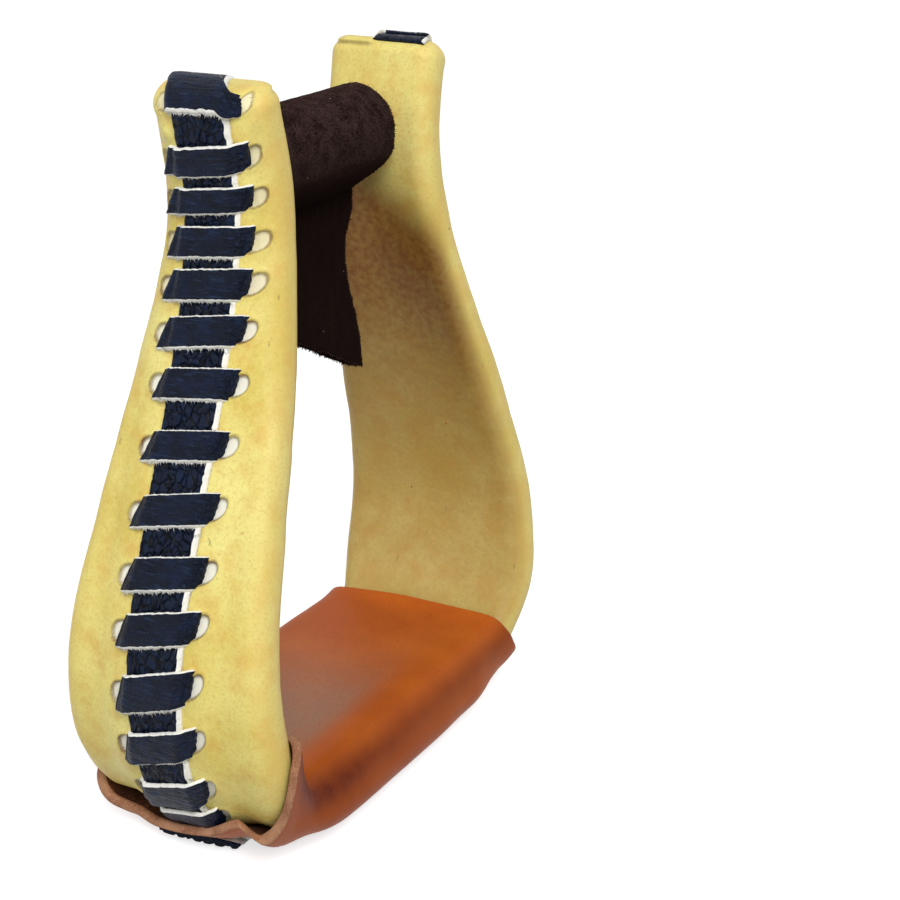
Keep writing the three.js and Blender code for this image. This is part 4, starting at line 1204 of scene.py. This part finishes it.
def makeCover():
    sizes = coverSizes
    around = inSteps(sizes["aroundSteps"])
    share = np.concatenate([-around[-2:0:-1], around])[None, :]
    nearRise, nearOpen = mouthAt(nearMouth, share)
    farRise, farOpen = mouthAt(farMouth, share)
    nearEdge = mouthPlace - nearRise
    farEdge = railLength - mouthPlace + farRise
    along = inSteps(sizes["alongSteps"])[:, None]

    def layer(rows, grow, spill):
        start = nearEdge + spill
        place = start + (farEdge - spill - start) * rows
        fromNear = np.clip(1 - (place - nearEdge) / sizes["openFade"], 0, 1) ** sizes["openPower"]
        fromFar = np.clip(1 - (farEdge - place) / sizes["openFade"], 0, 1) ** sizes["openPower"]
        fade = sizes["bulgeFade"]
        fade = smoothStep(place - nearEdge, *fade) * smoothStep(farEdge - place, *fade)
        bulge = sizes["bulge"] * fade * bell(np.abs(share), sizes["bulgeShare"], sizes["bulgeReach"])
        return place, grow, nearOpen * fromNear + farOpen * fromFar + bulge

    # the outside, the far lip, the inside and the near lip, as rows of one closed grid
    thick, edgeRound, bevel = sizes["thickness"], sizes["edgeRound"], sizes["edgeBevel"]
    outer = layer(along, thick, edgeRound)
    lips = [(thick - bevel, bevel), (thick - edgeRound, 0), (edgeRound, 0), (bevel, bevel)]
    farLip = [layer(np.array([[1.0]]), grow, spill) for grow, spill in lips]
    nearLip = [layer(np.array([[0.0]]), grow, spill) for grow, spill in lips[::-1]]
    parts = [outer, *farLip, layer(along[::-1], 0, edgeRound), *nearLip]
    grid = np.concatenate([coverPoints(share, *part) for part in parts])
    raised = [coverPoints(share, place, grow + 1, opening) for place, grow, opening in parts]
    out = np.concatenate(raised) - grid
    grid = grid + out * np.clip(waveOn(grid, sizes["waves"], 31), *sizes["waveLimits"])[..., None]
    # slots for the lace under the tread
    lift = bowSizes["clearance"] + thick
    run = share * bandHalfRun(depthAt(outer[0]) + lift, hideFace + lift, sizes["corner"] + thick)
    dip = np.zeros(outer[0].shape)
    for rung in treadRungs():
        reach = roundedReach((np.abs(run) - sizes["slotMiddle"]) / sizes["slotHalfLength"],
                             (outer[0] - rung) / sizes["slotHalfHeight"], sizes["slotRound"])
        dip = np.maximum(dip, smoothStep(-reach, *sizes["slotWall"]))
    outerEnd = len(along)
    innerStart = outerEnd + len(farLip)
    innerEnd = innerStart + len(along)
    grid[:outerEnd] -= out[:outerEnd] * (dip * sizes["slotDepth"])[..., None]
    kinds = np.ones(grid.shape[:2])
    kinds[:outerEnd - 1] = 0
    kinds[innerStart:innerEnd - 1] = 2
    # painted shade where it turns down at the sides, underneath and beside the near mouth, and wear with a
    # painted sheen where a boot rubs it
    level = np.abs(np.broadcast_to(share, grid.shape[:2]))
    x, y = grid[..., 0], grid[..., 1]
    middle, reach, strength = sizes["shadeLine"]
    nearMiddle, nearReach, nearStrength = sizes["shadeNear"]
    underside = 1 - smoothStep(level, *sizes["underFade"])
    besideMouth = smoothStep(-x, *sizes["shadeNearFade"]) * bell(level, nearMiddle, nearReach)
    turned = strength * bell(level, middle, reach) + sizes["shadeUnder"] * underside
    turned = turned + nearStrength * besideMouth
    wearAndSheen = smoothStep(level, *sizes["wearAndSheenFade"]) * bell(x, *sizes["wearAndSheenPlace"])
    wearAndSheen = wearAndSheen * smoothStep(y, *sizes["wearAndSheenFront"]) * sizes["wearAndSheenShare"]
    columns = np.arange(grid.shape[1] - 1)
    fibres = np.concatenate([edgeFibres(grid.transpose(1, 0, 2), row, row - 4, columns, "coverMouth", row)
                             for row in (outerEnd + 1, len(grid) - 3)])
    piece = addSkin("tread_sleeve", grid, [treadLeather, treadEdge, treadFlesh], kinds,
                    {"turned": turned, "wearAndSheen": wearAndSheen}, True, fibres)
    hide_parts("tread_cover")
    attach(piece, "stirrup")


makeCover()
print("tread cover done")


def makeTreadStrap():
    sizes = strapSizes
    start = mouthPlace + sizes["treadInset"]
    place = np.linspace(start, railLength - start, sizes["treadRows"])
    fromEnd = np.minimum(place - start, railLength - start - place)
    standOff = sizes["treadStandOff"] * np.clip(1 - fromEnd / coverSizes["openFade"], 0, 1)
    seat = hideFace + bowSizes["clearance"] + coverSizes["thickness"] + coverSizes["crown"] + sizes["gap"]
    seat = seat + standOff
    grid = strapGrid(place, seat, treadRungs(), 13, False, sizes["treadWidth"], sizes["treadSlant"])
    addStrap("underside_strap", "tread_strap", grid, 13)


def makeTreadLace():
    sizes = laceSizes
    turn = [sizes[size] for size in ("treadSlope", "width", "treadOnto", "treadEnd", "treadEnd")]
    turns = [(place, *turn) for place in treadRungs()]
    grid, kinds, rows = laceGrid(turns, sizes["treadLevels"], 23, railPoint, False)
    addLace("underside_lace", "tread_lace", grid, kinds, rows, 23)


makeTreadStrap()
makeTreadLace()
print("underside lacing done")

# Suede: one sheet hung over the roller, its two ends hanging together, and a lining under it
suedeSizes = {
    "nearX": -29.5,
    "farX": 23.5,
    "axisHeight": 174.5,
    "hingeHeight": 154.9,
    "ply": 1.7,
    "rollRadius": 11.6,
    # the roll's middle line from its crown down one side, in radii
    "acrossShares": (0, 0.38, 0.71, 0.93, 1.0, 0.99, 0.9, 0.72, 0.42, 0.17),
    "heightShares": (1, 0.92, 0.7, 0.38, 0.02, -0.36, -0.7, -1.0, -1.28, -1.55),
    "rollSteps": 5,
    "acrossSteps": 64,
    "downSteps": 46,
    "dropNear": 22.5,           # how far the ends hang below the hinge, on either side of the slant
    "dropFar": 47.9,
    "bow": 2.0,                 # the ends bow, so many waves long, and lean a little
    "bowWaves": 0.8,
    "bowStart": 0.25,
    "lean": 0.6,
    "layerGap": 0.7,
    "hangBack": 4.4,
    "hangBackFade": (4, 13),
    "wander": (14, 0.5),        # size and reach of its unevenness, and of the finer ripple
    "ripple": (4, 0.18),
    "ragged": (1.6, 0.5),       # and of its cut edges
    # where the painted shade on the hanging ends starts below the roller's axis, and how far it takes to
    # darken fully
    "hangingShadeFade": (-6, 22),
    "liningRadius": 8.75,
    "liningPly": 1.7,
    "liningTurn": 152,          # degrees each way from the crown
    "liningInset": 0.6,
    "liningSteps": (60, 24),
    "flatWidth": 0.053,
    "flatLength": 0.16,
    "flatArea": 0.00713,
}


def suedeShape():
    sizes = suedeSizes
    # the middle line on one side, from the crown of the roll down to the hinge
    radius = sizes["rollRadius"] - sizes["ply"] / 2
    across = np.array(sizes["acrossShares"]) * radius
    height = np.array(sizes["heightShares"]) * radius
    curve = smoothCurve(np.stack([across, np.zeros(len(across)), height], axis=1), sizes["rollSteps"])
    across, height = curve[:, 0], curve[:, 2] + sizes["axisHeight"]
    columns = np.linspace(0, 1, sizes["acrossSteps"])
    x = sizes["nearX"] + (sizes["farX"] - sizes["nearX"]) * columns
    drop = sizes["dropNear"] + (sizes["dropFar"] - sizes["dropNear"]) * columns
    tailRows = np.linspace(0, 1, sizes["downSteps"])[1:, None]
    z = height[-1] + (sizes["hingeHeight"] - drop - height[-1])[None, :] * tailRows
    down = np.clip((sizes["hingeHeight"] - z) / drop[None, :], 0, 1)
    wave = sizes["bow"] * np.sin(math.pi * 2 * sizes["bowWaves"] * down)
    wave = wave * smoothStep(down / sizes["bowStart"])
    wave = wave - sizes["lean"] * down ** 2
    apart = sizes["ply"] / 2 + 0.1 + sizes["layerGap"] * down ** 2
    lines = []
    for side in (-1, 1):
        y = side * np.maximum(apart, across[-1] * (1 - tailRows)) + wave
        roll = stacked(x[None, :], side * np.maximum(across, 0)[:, None], height[:, None])
        lines.append(np.concatenate([roll, stacked(x, y, z)]))
    middle = np.concatenate([lines[0][::-1], lines[1][1:]])
    # the two ends hang a little behind the roller's middle
    start, run = sizes["hangBackFade"]
    middle[..., 1] += sizes["hangBack"] * smoothStep((sizes["axisHeight"] - start - middle[..., 2]) / run)
    return middle


def plyBody(middle, thickness):
    # a closed sheet round a grid of points: its outer side, then its inner side back
    down = np.gradient(middle, axis=0)
    sideways = np.gradient(middle, axis=1)
    normal = np.cross(down, sideways)
    normal /= np.linalg.norm(normal, axis=-1)[..., None]
    upper = middle + normal * thickness / 2
    lower = middle - normal * thickness / 2
    return np.concatenate([upper, lower[:, ::-1]], axis=1)


def makeSuedeSheet():
    sizes = suedeSizes
    middle = suedeShape()
    wander, ripple = [noiseOn(middle, size, seed) * reach
                      for (size, reach), seed in ((sizes["wander"], 41), (sizes["ripple"], 43))]
    middle = middle + np.stack([ripple, wander * 0.4 + ripple, ripple * 0.5], axis=-1)
    # its cut edges are ragged
    size, reach = sizes["ragged"]
    ragged = noiseOn(middle, size, 42) * reach
    middle[0, :, 2] += ragged[0]
    middle[-1, :, 2] += ragged[-1]
    middle[:, 0, 0] += ragged[:, 0]
    middle[:, -1, 0] += ragged[:, -1]
    grid = plyBody(middle, sizes["ply"])
    rows, columns = middle.shape[:2]
    down = np.arange(len(grid) - 1)
    across = np.arange(columns - 1)
    turned = grid.transpose(1, 0, 2)
    # its long sides as column, inner column and seed, and its two ends as row, inner row, shift and seed
    sides = ((columns - 1, columns - 5, 51), (columns, columns + 4, 52), (0, 4, 53),
             (2 * columns - 1, 2 * columns - 5, 54))
    ends = ((0, 3, 0, 55), (rows - 1, rows - 4, 0, 56), (0, 3, columns, 57),
            (rows - 1, rows - 4, columns, 58))
    fibres = [edgeFibres(grid, column, inner, down, "suedeSide", seed) for column, inner, seed in sides]
    fibres += [edgeFibres(turned, row, inner, across + shift, "suedeEnd", seed)
               for row, inner, shift, seed in ends]
    # painted shade on the hanging ends, darker down from the roll
    start, run = sizes["hangingShadeFade"]
    hangingShade = smoothStep((sizes["axisHeight"] - start - grid[..., 2]) / run)
    piece = addSkin("suede_sheet", grid, [darkSuede], marks={"hangingShadeMark": hangingShade},
                    fibres=np.concatenate(fibres), fibreKind=0)
    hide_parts("suede_wrap", "suede_flap")
    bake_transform(piece)


def makeSuedeLining():
    # the first turn of the strip, lying on the roller under the sheet that shows
    sizes = suedeSizes
    turnSteps, acrossSteps = sizes["liningSteps"]
    turn = np.radians(np.linspace(-sizes["liningTurn"], sizes["liningTurn"], turnSteps))[:, None]
    x = np.linspace(sizes["nearX"] + sizes["liningInset"], sizes["farX"] - sizes["liningInset"], acrossSteps)
    middle = stacked(x[None, :], sizes["liningRadius"] * np.sin(turn),
                     sizes["axisHeight"] + sizes["liningRadius"] * np.cos(turn))
    piece = addSkin("suede_lining", plyBody(middle, sizes["liningPly"]), [darkSuede])
    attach(piece, "roller")


makeSuedeLining()
makeSuedeSheet()
print("suede done")

# Pieces whose shape comes from the frame
for node, material in (("bentwood_bow", ashWood), ("roller", rollerWood), ("roller_bolt", zincSteel),
                       ("bolt_washer", zincSteel), ("tee_nut", zincSteel)):
    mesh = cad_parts[node].data
    mesh.materials.clear()
    mesh.materials.append(material)


# Floor and light: the camera, and what a gloss reflects, see plain white round the object
stageSizes = {
    "floorSize": 6,
    "floorColour": "#dedede",
    "floorBounceColour": "#a6a6a6",
    "floorGlow": 0.66,          # added for the camera alone, so that the lit floor is just white
    "skyLight": 0.42,
    "lamps": (("keyLamp", (-1.02, -0.92, 1.25), 0.7, 20.5), ("fillLamp", (-1.0, 0.7, 0.6), 1.0, 3.5)),
    "lampAim": (0, 0, 0.1),
}


def seenPlain(tree):
    # 1 for what the camera sees, by itself, in a gloss or through glass, and 0 for light on the object
    path = addNode(tree, "LightPath").node.outputs
    shown = addNode(tree, "Math", {"operation": "MAXIMUM"},
                    {0: path["Is Camera Ray"], 1: path["Is Glossy Ray"]})
    return addNode(tree, "Math", {"operation": "MAXIMUM"}, {0: shown, 1: path["Is Transmission Ray"]})


def makeStage():
    sizes = stageSizes
    bpy.ops.mesh.primitive_plane_add(size=sizes["floorSize"])
    floor = bpy.context.object
    floor.name = "floor"
    material = bpy.data.materials.new("paleFloor")
    material.use_nodes = True
    tree = material.node_tree
    tree.nodes.clear()
    shown = seenPlain(tree)
    paint = addNode(tree, "BsdfDiffuse", {"Color": linearColour(sizes["floorColour"])})
    glow = addNode(tree, "Emission", {"Strength": sizes["floorGlow"]})
    bright = addNode(tree, "AddShader", None, {0: paint, 1: glow})
    bounce = addNode(tree, "BsdfDiffuse", {"Color": linearColour(sizes["floorBounceColour"])})
    surface = addNode(tree, "MixShader", None, {0: shown, 1: bounce, 2: bright})
    addNode(tree, "OutputMaterial", None, {"Surface": surface})
    floor.data.materials.append(material)
    world = bpy.data.worlds.new("studio")
    bpy.context.scene.world = world
    world.use_nodes = True
    sky = world.node_tree
    sky.nodes.clear()
    level = addNode(sky, "MapRange", {"To Min": sizes["skyLight"], "To Max": 1.0}, {"Value": seenPlain(sky)})
    light = addNode(sky, "Background", {"Color": (1, 1, 1, 1)}, {"Strength": level})
    addNode(sky, "OutputWorld", None, {"Surface": light})
    for name, place, size, energy in sizes["lamps"]:
        data = bpy.data.lights.new(name, "AREA")
        data.size = size
        data.energy = energy
        lamp = bpy.data.objects.new(name, data)
        lamp.location = place
        lamp.rotation_mode = "QUATERNION"
        lamp.rotation_quaternion = (Vector(sizes["lampAim"]) - Vector(place)).to_track_quat("-Z", "Y")
        bpy.context.scene.collection.objects.link(lamp)


makeStage()
bpy.context.scene.view_settings.view_transform = "Standard"
print("stage done")
